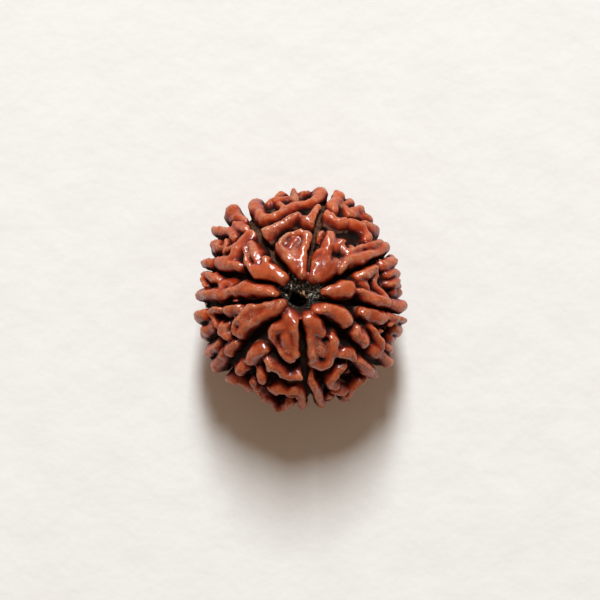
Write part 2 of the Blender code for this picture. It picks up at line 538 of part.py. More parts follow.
def surface_net(field, axes):
    """The zero surface of the field as points and outward quads, one point in each cell that it crosses."""
    inside = field < 0.0
    shape = np.array(field.shape) - 1
    corners = [(i, j, k) for i in (0, 1) for j in (0, 1) for k in (0, 1)]
    count = sum(
        inside[i:shape[0] + i, j:shape[1] + j, k:shape[2] + k].astype(np.int8) for i, j, k in corners
    )
    cells = np.argwhere((count > 0) & (count < 8))
    number = np.full(shape, -1, dtype=np.int32)
    number[tuple(cells.T)] = np.arange(len(cells))
    total = np.zeros((len(cells), 3))
    crossings = np.zeros(len(cells))
    for corner in corners:
        for axis in range(3):
            if corner[axis]:
                continue
            first = cells + corner
            second = first.copy()
            second[:, axis] += 1
            low, high = field[tuple(first.T)], field[tuple(second.T)]
            crossed = (low < 0.0) != (high < 0.0)
            share = np.where(crossed, low / np.where(crossed, low - high, 1.0), 0.0)
            place = first.astype(float)
            place[:, axis] += share
            total[crossed] += place[crossed]
            crossings += crossed
    start = np.array([axis[0] for axis in axes])
    step = axes[0][1] - axes[0][0]
    points = start + total / crossings[:, None] * step
    quads = []
    for axis in range(3):
        u, v = (axis + 1) % 3, (axis + 2) % 3
        ahead = [slice(None)] * 3
        behind = [slice(None)] * 3
        ahead[axis], behind[axis] = slice(1, None), slice(None, -1)
        leaving = inside[tuple(behind)] & ~inside[tuple(ahead)]
        entering = ~inside[tuple(behind)] & inside[tuple(ahead)]
        for edges, outward in ((leaving, True), (entering, False)):
            base = np.argwhere(edges)
            ring = []
            for du, dv in ((-1, -1), (0, -1), (0, 0), (-1, 0)):
                cell = base.copy()
                cell[:, u] += du
                cell[:, v] += dv
                ring.append(number[tuple(cell.T)])
            quads.append(np.stack(ring if outward else ring[::-1], axis=1))
    return points, np.concatenate(quads)


def largest_surface(points, quads):
    """The stone's own surface, without loose scraps and sealed hollows."""
    label = np.arange(len(points))
    while True:
        lowest = label.copy()
        np.minimum.at(lowest, quads.ravel(), np.repeat(label[quads].min(axis=1), 4))
        lowest = lowest[lowest]
        if np.array_equal(lowest, label):
            break
        label = lowest
    kept = label == np.bincount(label).argmax()
    return points[kept], (np.cumsum(kept) - 1)[quads[kept[quads[:, 0]]]]


def mesh_from(name, points, faces):
    mesh = bpy.data.meshes.new(name)
    mesh.vertices.add(len(points))
    mesh.vertices.foreach_set("co", points.astype(np.float32).ravel())
    sides = faces.shape[1]
    mesh.loops.add(faces.size)
    mesh.loops.foreach_set("vertex_index", faces.astype(np.int32).ravel())
    mesh.polygons.add(len(faces))
    mesh.polygons.foreach_set("loop_start", np.arange(0, faces.size, sides, dtype=np.int32))
    mesh.update(calc_edges=True)
    mesh.validate()
    return mesh


def decimated(mesh, triangles):
    """The mesh with about this many triangles, its curves keeping most of them."""
    obj = bpy.data.objects.new("draft", mesh)
    bpy.context.scene.collection.objects.link(obj)
    modifier = obj.modifiers.new("fewer faces", "DECIMATE")
    modifier.ratio = triangles / (2.0 * len(mesh.polygons))
    modifier.use_collapse_triangulate = True
    graph = bpy.context.evaluated_depsgraph_get()
    result = bpy.data.meshes.new_from_object(obj.evaluated_get(graph))
    bpy.data.objects.remove(obj)
    return result


def untangle(bm):
    """Evens out the few places where thinning the faces left two of them crossing."""
    for _ in range(UNTANGLE_ROUNDS):
        bm.faces.ensure_lookup_table()
        tree = BVHTree.FromBMesh(bm)
        tangled = set()
        for first, second in tree.overlap(tree):
            corners = set(bm.faces[first].verts)
            others = set(bm.faces[second].verts)
            if not corners & others:
                tangled |= corners | others
        if not tangled:
            return
        tangled |= {edge.other_vert(vert) for vert in tangled for edge in vert.link_edges}
        bmesh.ops.smooth_vert(
            bm, verts=list(tangled), factor=0.5, use_axis_x=True, use_axis_y=True, use_axis_z=True
        )


def cut_rest_spots(bm, height):
    """Cuts the stone off flat at this height and closes each cut."""
    geometry = bm.verts[:] + bm.edges[:] + bm.faces[:]
    bmesh.ops.bisect_plane(
        bm, geom=geometry, plane_co=(0.0, 0.0, height), plane_no=(0.0, 0.0, 1.0), clear_inner=True
    )
    rim = [edge for edge in bm.edges if edge.is_boundary]
    bmesh.ops.triangle_fill(bm, edges=rim, use_beauty=True, normal=(0.0, 0.0, -1.0))
    bmesh.ops.recalc_face_normals(bm, faces=bm.faces[:])


def stone_material():
    material = bpy.data.materials.new("seed coat")
    material.use_nodes = True
    shader = material.node_tree.nodes["Principled BSDF"]
    shader.inputs["Base Color"].default_value = COLOUR
    shader.inputs["Roughness"].default_value = ROUGHNESS
    return material


def make_stone():
    field, axes = stone_field(VOXEL)
    points, quads = largest_surface(*surface_net(make_manifold(field), axes))
    mesh = decimated(mesh_from("seed", points, quads), NODE_TRIANGLES)
    bm = bmesh.new()
    bm.from_mesh(mesh)
    untangle(bm)
    lowest = min(vert.co.z for vert in bm.verts)
    cut_rest_spots(bm, lowest + REST_CUT)
    bmesh.ops.triangulate(bm, faces=bm.faces[:])
    low = [min(vert.co[axis] for vert in bm.verts) for axis in range(3)]
    high = [max(vert.co[axis] for vert in bm.verts) for axis in range(3)]
    middle = [(low[0] + high[0]) / 2.0, (low[1] + high[1]) / 2.0, low[2]]
    for vert in bm.verts:
        for axis in range(3):
            vert.co[axis] = (vert.co[axis] - middle[axis]) * MM
    mesh = bpy.data.meshes.new("seed")
    bm.to_mesh(mesh)
    bm.free()
    mesh.materials.append(stone_material())
    mesh.shade_smooth()
    stone = bpy.data.objects.new("seed", mesh)
    bpy.context.scene.collection.objects.link(stone)
    return stone


def main():
    for obj in list(bpy.data.objects):
        bpy.data.objects.remove(obj)
    make_stone()


if __name__ == "__main__":
    main()
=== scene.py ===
"""Rudraksha seed, dressed: the fine stone in its waxed colours, with crust and fibres at its stem hole.

The stone follows the CAD's rule on a finer grid. Dimensions are in millimetres, meshes in metres.
"""

import random
from math import ceil, cos, degrees, pi, radians, sin, sqrt, tau

import bmesh
import bpy
import numpy as np
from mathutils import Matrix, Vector


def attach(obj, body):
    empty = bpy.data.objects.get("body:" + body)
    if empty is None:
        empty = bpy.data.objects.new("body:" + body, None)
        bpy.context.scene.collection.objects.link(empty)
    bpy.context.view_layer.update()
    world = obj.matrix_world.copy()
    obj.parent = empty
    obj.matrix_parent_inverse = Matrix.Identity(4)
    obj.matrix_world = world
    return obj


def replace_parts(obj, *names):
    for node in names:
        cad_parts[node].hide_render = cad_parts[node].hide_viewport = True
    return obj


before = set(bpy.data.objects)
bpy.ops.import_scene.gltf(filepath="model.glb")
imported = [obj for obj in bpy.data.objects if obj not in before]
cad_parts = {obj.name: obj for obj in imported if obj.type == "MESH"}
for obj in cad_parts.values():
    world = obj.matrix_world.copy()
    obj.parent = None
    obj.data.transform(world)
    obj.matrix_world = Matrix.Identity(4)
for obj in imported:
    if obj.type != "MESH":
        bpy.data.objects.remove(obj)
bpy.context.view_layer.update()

MM = 0.001
scene = bpy.context.scene

# The spheroid that the ridge tops touch, what lies under it, and how it fades in degrees from a pole
CREST_EQUATOR = 11.15
CREST_POLE = 9.7
FLOOR_DEPTH = 2.0
FLOOR_DEPTH_POLE = 1.6
FLOOR_DEPTH_RIM = 1.45
POLE_FADE = 16.0
RIM_FADE = (42.0, 66.0)

# Ridge section
WIDEN = 1.27
SHOULDER = 0.75
ROOT_FLARE = 0.3
CROWN_DROP = 0.12
RIDGE_BLEND = 0.08
STROKE_STEP = 0.8
ROOT_REACH = 0.6

# Clefts between the nine faces
CLEFT_HALF_WIDTHS = (0.2, 0.27, 0.27, 0.2, 0.22, 0.2, 0.34, 0.2, 0.22)
CLEFT_DEPTH = 2.15
CLEFT_RIM_DEPTHS = (2.1, 0.9, 1.3, 1.9, 1.5, 1.2, 1.45, 1.1, 1.85)
BED_HALF_WIDTH = 0.6
CLEFT_BLEND = 0.15
CLEFT_STARTS = (12, 17, 14, 12, 12, 18, 15, 20, 12)
CLEFT_OPENING = 14.0
CLEFT_POLE_SHARE = 0.4
HOLLOW_BLEND = 0.3
FAR = 1e3

# The channel along the axis and its worn mouths
BORE_RADIUS = 0.85
BORE_CENTRE = (-0.25, -0.2)
MOUTH_RADIUS = 1.35
MOUTH_DEPTH = 2.3
FLARE_END = 1.5
BORE_BLEND = 0.35

# Slow waves that keep the ridges from being even: their size, then their length and number
WARP = 0.1
WARP_WAVES = (2.6, 7)
SWELL = 0.05
SWELL_WAVES = (1.3, 9)
WAVE_SPREAD = (0.7, 1.4)

# Grid
MARGIN = 2.3
SEED = 9
JUST_INSIDE = -1e-3
CORNERS = [(i, j, k) for i in (0, 1) for j in (0, 1) for k in (0, 1)]

# Each cleft's azimuth at these colatitudes
CLEFT_COLATITUDES = (12, 30, 60, 90)
CLEFTS = [
    (22, 27, 27, 28),
    (72, 78.5, 77.5, 74.5),
    (119, 123, 124, 122),
    (155, 159, 162, 162.5),
    (184, 186, 184.5, 184.5),
    (228, 222, 222.5, 224),
    (270, 271.5, 273.5, 275.5),
    (310, 320, 318, 318.5),
    (351, 352.5, 352, 351.5),
]

# Ridges of the stem half, face by face, as points of azimuth, colatitude, half width in hundredths of
# a millimetre and, where the crest stands above or below the spheroid, lift in the same
FACE_RIGHT_UPPER = [
    [(57, 17, 72, 5), (57, 22, 85, 10), (58, 28, 75, 5), (61, 35, 52), (63.5, 41, 55), (64.5, 45, 50)],
    [(66, 18, 50, -10), (66, 24, 55, -20), (64, 31, 55, -20)],
    [(45, 20, 55, -15), (43, 25, 65, -25), (46, 32, 65, -30)],
    [(75, 41, 25, -30), (72, 45, 25, -20)],
    [(55, 39, 40, -25), (54.5, 45, 50)],
    [(53, 47, 25, -10), (49, 42, 30, -10), (44, 42, 30, -10), (42, 46, 30), (46, 48, 25, -20)],
    [(36, 32, 50), (39, 37, 55), (37, 41, 55), (34, 48, 45), (32, 55, 45), (31.5, 64, 40), (32, 74, 40),
     (33, 86, 40, -20)],
    [(40, 50, 35, -10), (38, 58, 35), (36, 66, 40), (36, 77, 40, -10)],
    [(73, 62, 50, 5), (70, 62, 50, 5), (66.5, 60.5, 42, -15), (63, 60.5, 40, -15), (60.5, 62.5, 42, 5)],
    [(71, 72, 40), (71, 82, 60, 40), (71, 92, 65, 110)],
    [(71, 82, 40, 10), (66, 82, 40), (62, 77, 40), (59.5, 81, 45), (57.5, 87, 50, 50),
     (56.6, 92, 45, 85)],
    [(66, 85, 35, 30), (63.7, 92, 40, 100)],
    [(56, 65, 42), (52, 67, 52), (48, 68, 58), (44.5, 66, 52), (42, 63, 35, -10)],
    [(49.5, 77, 50), (45.5, 81, 50), (43.5, 86, 45)],
    [(56, 84, 40), (51, 91, 45, 40)],
]
FACE_TOP = [
    [(88, 16, 55), (88, 24, 55), (86.5, 31, 50), (85, 40, 42)],
    [(99, 18.5, 50), (105, 25, 50), (110, 31, 40), (113, 37, 28)],
    [(113, 36, 20), (106, 40, 22, -10), (98, 42, 25, -20), (90, 42, 35, -10)],
    [(96, 21, 80, -10), (98, 28, 90, -25), (95, 36, 80, -35)],
    [(104, 29, 70, -25), (104, 36, 55, -30)],
    [(98, 35, 20, -15), (101, 32.5, 15, -15)],
    [(120, 50, 52), (115, 49, 52), (109, 50.5, 45), (102, 52, 50), (96, 54, 50), (92, 56.5, 40)],
    [(92, 56, 30, -15), (89, 55, 25, -20), (87, 54, 30, -10)],
    [(87, 53, 45), (83, 53, 50), (80.5, 59, 45), (80, 67, 35)],
    [(115, 92, 65, 80), (116.5, 75, 55, 15), (115, 64, 45), (110, 60.5, 35), (105, 61, 35),
     (101, 63, 35), (97, 66, 40), (93, 69, 40), (88, 70, 40), (84, 73, 40), (81, 80, 50, 30),
     (80, 92, 70, 95)],
    [(109, 82, 30, -10), (104.5, 85, 40, 10), (100, 92, 40, 55)],
    [(104, 82, 35), (97, 84, 35), (94, 81, 30), (93.5, 93, 20, 85)],
    [(90, 86, 30, 35), (87, 90, 30, 35), (86, 92, 30, 40)],
    [(101, 65, 25, -40), (101, 73, 25, -40), (103, 79, 25, -30)],
]
FACE_LEFT_UPPER = [
    [(137, 18.5, 62), (139, 24, 72, 5), (145, 29, 70, -10), (149, 35, 60, -10)],
    [(144, 19, 45, -20), (149, 25, 50, -25), (153, 31, 40, -30)],
    [(139, 29, 45, -30), (134.5, 33, 45)],
    [(133, 49, 40), (134, 45, 50), (137, 40, 45), (140, 36, 40, -10)],
    [(138, 49, 25), (143, 46, 25), (148, 41, 30), (150, 37, 40, -10)],
    [(131.5, 75, 42), (129.5, 68, 55), (128, 62, 55)],
    [(141, 56, 30), (144, 59, 25), (147, 61, 20)],
    [(127.5, 56, 50), (131, 55.5, 55), (136, 54.5, 60), (141, 54, 55), (146, 54.5, 50), (150, 54, 50)],
    [(153.5, 49.5, 60), (154, 55, 68), (155.5, 61, 62), (156.5, 66, 45)],
    [(157.5, 72, 40), (158.5, 81, 36, 10), (159, 90, 30, 15)],
    [(126, 74, 40, -10), (127, 82, 55, 40), (127.5, 92, 70, 145)],
    [(138, 65, 40), (135.5, 68, 50), (136, 74, 40), (138, 82, 35, 20), (140.3, 92, 32, 105)],
    [(142, 70, 20), (144, 66, 20), (150, 64, 20, -20)],
    [(146, 71, 45, -15), (147, 79, 58, 5), (147.5, 89, 50, 5)],
]
FACE_LEFT = [
    [(174, 17, 28), (172.5, 21.5, 45), (172, 30, 52), (171.5, 38, 62), (174, 44, 48), (176, 50, 42),
     (177, 58, 45), (177, 68, 45), (177, 80, 45), (177, 89, 40)],
    [(170, 49, 50, -60), (169.5, 57, 50, -45), (173, 54, 45, -25)],
    [(167, 60, 40, -20), (166, 67, 45), (165, 75, 35, -10), (168, 77, 25), (172, 70, 20)],
    [(165, 80, 35, -20), (165, 90, 35, -35)],
]
FACE_LEFT_LOWER = [
    [(204, 15, 60, 5), (205, 20, 65), (206, 28, 60), (208, 36, 50), (209, 43, 50), (211, 48, 45)],
    [(197, 17, 50), (194.5, 21, 54), (192, 27, 56), (190.5, 31.5, 48)],
    [(192.5, 34.5, 30), (197.5, 41, 28), (202, 46.5, 25), (208, 49.5, 30)],
    [(200, 22, 70, -10), (201, 31, 90, -15), (205, 42, 75, -15)],
    [(189.2, 42, 50), (189.2, 46.5, 62), (189.8, 50.5, 52)],
    [(189, 48, 25, -50), (197, 46, 25, -50)],
    [(200, 56, 50), (203, 59.5, 60), (206.5, 57.5, 48)],
    [(214, 55, 35, -10), (215, 59, 45), (216, 64, 40)],
    [(215, 68, 40, -10), (217, 77, 50, 20), (218, 91, 55, 70)],
    [(209, 69, 36, -30), (209.3, 77, 47, 10), (209.5, 91, 50, 40)],
    [(187, 57.5, 50), (187.2, 62, 50)],
    [(188, 65, 20), (193, 64, 20, -20), (198, 62, 20)],
    [(188.5, 75, 58, 10), (188.8, 83, 62, 20), (189.2, 91, 60, 30)],
    [(197, 69, 48, -30), (198, 77, 60, -15), (198.5, 90, 58, 5)],
    [(193, 68, 30, -50), (197, 77, 30, -40)],
]
FACE_BOTTOM_LEFT = [
    [(247, 15.5, 70, 10), (244, 19, 70, 10), (237, 23, 60), (232, 27.5, 50)],
    [(256, 16, 60, 10), (260, 20, 55, 10), (263.5, 28, 50), (265, 37, 45)],
    [(232, 29, 45), (235, 32.5, 40), (243, 36, 35, -20), (251, 39, 35, -10), (260, 41, 50)],
    [(250, 21, 85), (249, 27, 95, -15), (255, 34, 80, -15)],
    [(234.5, 43, 50), (232, 47.5, 64), (231, 52, 64), (231.5, 55, 50)],
    [(242, 48, 30), (247, 50, 42), (253, 50.5, 40), (257, 53, 40), (262, 54.5, 42), (268.5, 53.5, 42)],
    [(246, 51, 40, -10), (246, 53, 40, -10)],
    [(254.5, 73, 35), (253, 71, 40), (257, 67, 42), (262, 67.5, 38), (267, 65.5, 40), (270, 66.5, 35),
     (270.5, 72, 30, -5), (271, 80, 30, -10), (271, 93, 30, 40)],
    [(245, 76, 20, -10), (249, 85, 25), (253, 92, 30, 20), (258, 95, 40, 95), (262, 91, 30, 30),
     (265, 86, 25)],
    [(262, 76, 20, -30), (264, 75, 20, -30), (267, 73, 20, -30), (268, 78, 20, -30)],
    [(238, 59, 25, -40), (241.5, 62, 38, -15), (243.5, 66, 35, -10)],
    [(229.5, 64, 50), (229, 68, 56), (230, 71, 48)],
    [(227, 89, 42, 35), (229.5, 84, 45, 20), (233, 82, 45), (238, 81, 38), (240, 86, 30, -20)],
    [(240, 70, 20, -10), (244, 80, 18, -10), (249, 92, 18, -10)],
]
FACE_BOTTOM_RIGHT = [
    [(289, 15.5, 66, 10), (293, 19, 66, 10), (296, 24, 55), (297, 27, 45, -10)],
    [(288, 20, 50, -5), (284.5, 26, 55), (282, 33, 52), (281, 40, 50), (282, 46, 55), (287, 48.5, 52),
     (293, 47, 46), (298, 43, 48), (302.5, 39, 56), (305.5, 36, 60)],
    [(288, 28, 50, -25), (289, 36, 60, -25), (293, 41, 50, -20)],
    [(303, 45.5, 36), (307.5, 47.5, 48), (310.5, 50.5, 48), (311.5, 54, 40)],
    [(313.5, 61, 38, -10), (313.5, 69, 48), (313.5, 77, 45), (314, 88, 40, 10)],
    [(303, 56, 26, -10), (298, 56, 32), (293, 59, 38), (289.5, 63, 40), (289.5, 67, 38),
     (291.5, 70, 32)],
    [(278, 54, 20, -50), (278.5, 60, 30, -10), (279.5, 67, 36), (280, 75, 36), (280.5, 83, 32, -10),
     (281, 93, 36, 40)],
    [(291, 74, 42, -10), (295, 79, 45)],
    [(296, 86, 40, 30), (295, 93, 45, 65)],
    [(298, 88, 25, 20), (300, 80, 25), (304, 79, 22, -10), (308.5, 80, 30, -10)],
    [(285, 82, 25, -30), (287, 90, 30, -20)],
]
FACE_RIGHT_LOWER = [
    [(319, 14, 42), (328, 16, 50, 5), (334.5, 20, 62, 5), (335, 27, 70), (332.5, 33.5, 60)],
    [(345.5, 43, 48, -10), (345, 48, 66), (345.5, 53.5, 62), (346.5, 58, 42)],
    [(347.5, 63, 30, -20), (348, 69, 42), (348, 75, 40)],
    [(347, 72, 22), (343, 67, 20, -20), (339, 63, 20, -30), (336, 60, 20, -50)],
    [(349, 79, 30, -10), (349, 89, 42, 15)],
    [(343, 77, 40, -30), (343, 89, 45, -5)],
    [(337, 78, 45, -50), (337, 92, 50, -60)],
    [(329, 43.5, 50), (327.5, 47, 60), (325.5, 51, 56), (324, 54, 46)],
    [(337, 50, 25, -30), (334.5, 56, 34, -10), (331.5, 63, 42), (328, 68, 50), (325, 68, 50),
     (324.5, 62, 45)],
    [(331, 75, 35, -20), (331, 88, 42, -15)],
    [(325, 73, 40, -20), (324.5, 90, 45, 55)],
]
FACE_RIGHT = [
    [(14, 17, 36), (11, 21.5, 58), (10.5, 28, 74), (9.5, 32, 66)],
    [(13, 36, 12, -50), (5, 36, 12, -50)],
    [(20, 40, 36, -10), (20.5, 46, 46), (21.5, 53, 44)],
    [(21, 53, 32), (17, 54, 30, -30), (13, 53, 34, -50), (9, 54, 38, -50), (5, 57, 38, -35)],
    [(14.5, 43, 70, -60), (9.5, 45.5, 70, -65)],
    [(5, 37.5, 18), (3, 41, 34), (0, 46, 52), (-1.5, 53, 56), (-2.5, 60, 48)],
    [(-4, 67, 44, -15), (-4, 76, 50), (-3, 88, 46, -5)],
    [(5, 56, 42, -25), (1, 58, 42, -10)],
    [(22.5, 63, 38), (22, 69, 50), (23, 78, 48), (23.5, 88, 42, -20)],
    [(15.5, 66, 28, -30), (15.8, 74, 40, -20), (15.5, 88, 38, -65)],
    [(10, 66, 30, -40), (10.3, 75, 42, -25), (10, 88, 40, -65)],
    [(4.5, 72, 35, -60), (5, 88, 40, -120)],
]
STEM_HALF = [
    [[(*node[:2], *(size / 100.0 for size in node[2:])) for node in ridge] for ridge in face]
    for face in (
        FACE_RIGHT_UPPER, FACE_TOP, FACE_LEFT_UPPER, FACE_LEFT, FACE_LEFT_LOWER,
        FACE_BOTTOM_LEFT, FACE_BOTTOM_RIGHT, FACE_RIGHT_LOWER, FACE_RIGHT,
    )
]

# Deep hollows between ridges: azimuth, colatitude, radius and depth under the spheroid
HOLLOWS = [
    (106, 70, 0.4, 1.9), (57, 74, 0.4, 1.9), (50, 46, 0.2, 1.1), (143.5, 72, 0.35, 1.9),
    (146, 47, 0.4, 2.2), (195, 54.5, 0.38, 2.1), (259, 82, 0.5, 2.2), (252, 60, 0.45, 2.1),
    (301, 64, 0.7, 2.3), (307, 70, 0.45, 2.0), (341, 65, 0.4, 2.1), (336, 45, 0.35, 2.1),
    (302, 33, 0.2, 1.5), (92, 47, 0.35, 2.1),
]

# The hidden half takes each face's ridges from another face, turned about the equator
FACE_SHIFT = 4
HIDDEN_START = 100.0
HIDDEN_LIFT_PLACES = (104.0, 118.0)
HIDDEN_LIFTS = (-0.4, 0.05)
HIDDEN_JITTER = 1.7
UPPER_REACH = 97.0

# Ridges that reach the equator run on this far below it and come back to the spheroid
RIM_COLATITUDE = 86.0
RIM_RUN = (9.0, 21.0)
RIM_TURN = 2.5
RIM_END_LIFT = -0.1


def direction(azimuth, colatitude):
    """Unit vectors of places on the stone; the last axis holds x, y, z."""
    turn, down = np.radians(azimuth), np.radians(colatitude)
    flat = np.sin(down)
    return np.stack([flat * np.cos(turn), flat * np.sin(turn), np.cos(down)], axis=-1)


def crest_radius(cosine):
    """Distance from the centre to the crest spheroid, from the cosine of the colatitude."""
    sine_squared = 1.0 - cosine * cosine
    return 1.0 / np.sqrt(sine_squared / CREST_EQUATOR**2 + cosine * cosine / CREST_POLE**2)


def floor_depth(cosine):
    """How far the valleys lie under the crests: less round the two poles and the equator."""
    from_pole = np.degrees(np.arccos(np.clip(np.abs(cosine), 0.0, 1.0)))
    share = smooth_step(from_pole / POLE_FADE)
    to_rim = rim_share(from_pole)
    depth = FLOOR_DEPTH_POLE + (FLOOR_DEPTH - FLOOR_DEPTH_POLE) * share
    return depth + (FLOOR_DEPTH_RIM - FLOOR_DEPTH) * to_rim


def rim_share(from_pole):
    """0 round the poles to 1 round the equator."""
    start, end = RIM_FADE
    return smooth_step((from_pole - start) / (end - start))


def smooth_step(share):
    share = np.clip(share, 0.0, 1.0)
    return share * share * (3.0 - 2.0 * share)


def smooth_union(first, second, blend):
    share = np.clip(0.5 + 0.5 * (second - first) / blend, 0.0, 1.0)
    return second + (first - second) * share - blend * share * (1.0 - share)


def smooth_cut(solid, cutter, blend):
    return -smooth_union(-solid, cutter, blend)


def cleft_azimuth(index, colatitude):
    """A cleft's azimuth at a colatitude, going on down past the equator as it reached it."""
    turns, index = divmod(index, len(CLEFTS))
    return np.interp(colatitude, CLEFT_COLATITUDES, CLEFTS[index]) + 360.0 * turns


def wave_noise(points, length, terms, draw):
    """A sum of sine waves in random directions, about -1 to 1."""
    total = 0.0
    for _ in range(terms):
        wave = draw.normal(size=3)
        wave *= tau / (length * np.linalg.norm(wave) * draw.uniform(*WAVE_SPREAD))
        total = total + np.sin(points @ wave.astype(np.float32) + draw.uniform(0.0, tau))
    return total / sqrt(terms)


def curve_through(nodes):
    """The nodes of a ridge joined by a smooth curve, as rows of direction, half width and lift."""
    rows = np.array([(*node, 0.0)[:4] for node in nodes])
    rows = np.concatenate([direction(rows[:, 0], rows[:, 1]), rows[:, 2:]], axis=1)
    ends = np.concatenate([[2 * rows[0] - rows[1]], rows, [2 * rows[-1] - rows[-2]]])
    out = []
    for before, start, end, after in zip(ends, ends[1:], ends[2:], ends[3:]):
        length = CREST_EQUATOR * np.linalg.norm(end[:3] - start[:3])
        pieces = max(1, ceil(length / STROKE_STEP))
        for t in np.arange(pieces) / pieces:
            out.append(0.5 * (2 * start + (end - before) * t
                              + (2 * before - 5 * start + 4 * end - after) * t * t
                              + (3 * start - before - 3 * end + after) * t**3))
    out.append(rows[-1])
    out = np.array(out)
    out[:, :3] /= np.linalg.norm(out[:, :3], axis=1, keepdims=True)
    return out


def past_the_rim(ridges, draw):
    """The ridges of one face, with each that reaches the equator carried on below it."""
    longer = []
    for ridge in ridges:
        nodes = list(ridge)
        for place, node in ((len(nodes), nodes[-1]), (0, nodes[0])):
            if node[1] >= RIM_COLATITUDE:
                azimuth = node[0] + draw.uniform(-RIM_TURN, RIM_TURN)
                nodes.insert(place, (azimuth, node[1] + draw.uniform(*RIM_RUN), node[2], RIM_END_LIFT))
        longer.append(nodes)
    return longer


def hidden_half(draw):
    """Ridges of the lower half: each face borrows another's layout, fitted to its own width."""
    faces = []
    for index in range(len(STEM_HALF)):
        source = (index + FACE_SHIFT) % len(STEM_HALF)
        turned = draw.random() < 0.5
        ridges = []
        for ridge in STEM_HALF[source]:
            nodes = []
            for node in ridge:
                azimuth, colatitude, half, lift = (*node, 0.0)[:4]
                left = cleft_azimuth(source, colatitude)
                width = cleft_azimuth(source + 1, colatitude) - left
                share = ((azimuth - left + 90.0) % 360.0 - 90.0) / width
                share = 1.0 - share if turned else share
                below = 180.0 - colatitude * (180.0 - HIDDEN_START) / UPPER_REACH
                start = cleft_azimuth(index, below)
                across = cleft_azimuth(index + 1, below) - start
                nodes.append((
                    start + across * share + draw.uniform(-HIDDEN_JITTER, HIDDEN_JITTER) * 0.5,
                    below + draw.uniform(-HIDDEN_JITTER, HIDDEN_JITTER),
                    half,
                    min(lift, np.interp(below, HIDDEN_LIFT_PLACES, HIDDEN_LIFTS)),
                ))
            ridges.append(nodes)
        faces.append(ridges)
    return faces


def segment_blocks(stroke, axes):
    """The slices of the grid that a ridge can reach."""
    top = crest_radius(stroke[:, 2]) + stroke[:, 4]
    deep = top - FLOOR_DEPTH - ROOT_REACH
    ends = np.concatenate([stroke[:, :3] * top[:, None], stroke[:, :3] * deep[:, None]])
    reach = WIDEN * stroke[:, 3].max() + ROOT_FLARE + RIDGE_BLEND + WARP * 2.0
    low, high = ends.min(axis=0) - reach, ends.max(axis=0) + reach
    return tuple(
        slice(max(0, int(np.searchsorted(axis, a)) - 1), int(np.searchsorted(axis, b)) + 1)
        for axis, a, b in zip(axes, low, high)
    )


def ridge_distance(stroke, unit, radius):
    """Signed distance to one ridge, a wall over its curve with round shoulders, and its lift."""
    nearest = np.full(radius.shape, np.inf, dtype=np.float32)
    half = np.zeros_like(nearest)
    lift = np.zeros_like(nearest)
    for start, end in zip(stroke, stroke[1:]):
        chord = (end[:3] - start[:3]).astype(np.float32)
        length = float(chord @ chord) + 1e-12
        gap = unit - start[:3].astype(np.float32)
        share = np.clip((gap @ chord) / length, 0.0, 1.0)
        gap = gap - share[..., None] * chord
        distance = np.sqrt((gap * gap).sum(axis=-1))
        closer = distance < nearest
        nearest = np.where(closer, distance, nearest)
        half = np.where(closer, start[3] + (end[3] - start[3]) * share, half)
        lift = np.where(closer, start[4] + (end[4] - start[4]) * share, lift)
    across = nearest * radius
    top = crest_radius(unit[..., 2]) + lift
    depth = top - radius
    wide = WIDEN * half + ROOT_FLARE * smooth_step(depth / FLOOR_DEPTH)
    shoulder = np.minimum(SHOULDER, WIDEN * half)
    out = across - (wide - shoulder)
    over = radius - (top - CROWN_DROP * np.minimum(across / wide, 1.0) ** 2 - shoulder)
    corner = np.hypot(np.maximum(out, 0.0), np.maximum(over, 0.0))
    return corner + np.minimum(np.maximum(out, over), 0.0) - shoulder, lift


def cleft_distances(index, unit, radius):
    """Signed distances to one cleft's bed, a low wall along it, and to the narrow trench above it."""
    colatitude = np.degrees(np.arccos(np.clip(unit[..., 2], -1.0, 1.0)))
    azimuth = np.radians(cleft_azimuth(index, colatitude))
    cosine, sine = np.cos(azimuth), np.sin(azimuth)
    ahead = unit[..., 0] * cosine + unit[..., 1] * sine
    across = np.abs(unit[..., 1] * cosine - unit[..., 0] * sine) * radius
    from_pole = np.minimum(colatitude, 180.0 - colatitude)
    depth = CLEFT_DEPTH + (CLEFT_RIM_DEPTHS[index] - CLEFT_DEPTH) * rim_share(from_pole)
    top = crest_radius(unit[..., 2]) - depth
    opened = smooth_step((from_pole - CLEFT_STARTS[index]) / CLEFT_OPENING)
    half = CLEFT_HALF_WIDTHS[index] * (CLEFT_POLE_SHARE + (1.0 - CLEFT_POLE_SHARE) * opened)
    start = np.radians(CLEFT_STARTS[index] - from_pole) * radius
    bed = np.maximum(across - BED_HALF_WIDTH, radius - top)
    trench = np.maximum(np.maximum(across - half, top - radius), start)
    return np.where(ahead > 0.0, bed, FAR), np.where(ahead > 0.0, trench, FAR)


def hollow_distance(hollow, unit, radius):
    """Signed distance to a round well that points at the centre."""
    *place, wide, deep = hollow
    middle = direction(*place).astype(np.float32)
    across = np.linalg.norm(unit - middle, axis=-1) * radius
    end = crest_radius(middle[2]) - deep
    return np.hypot(across, np.minimum(radius - end - wide, 0.0)) - wide


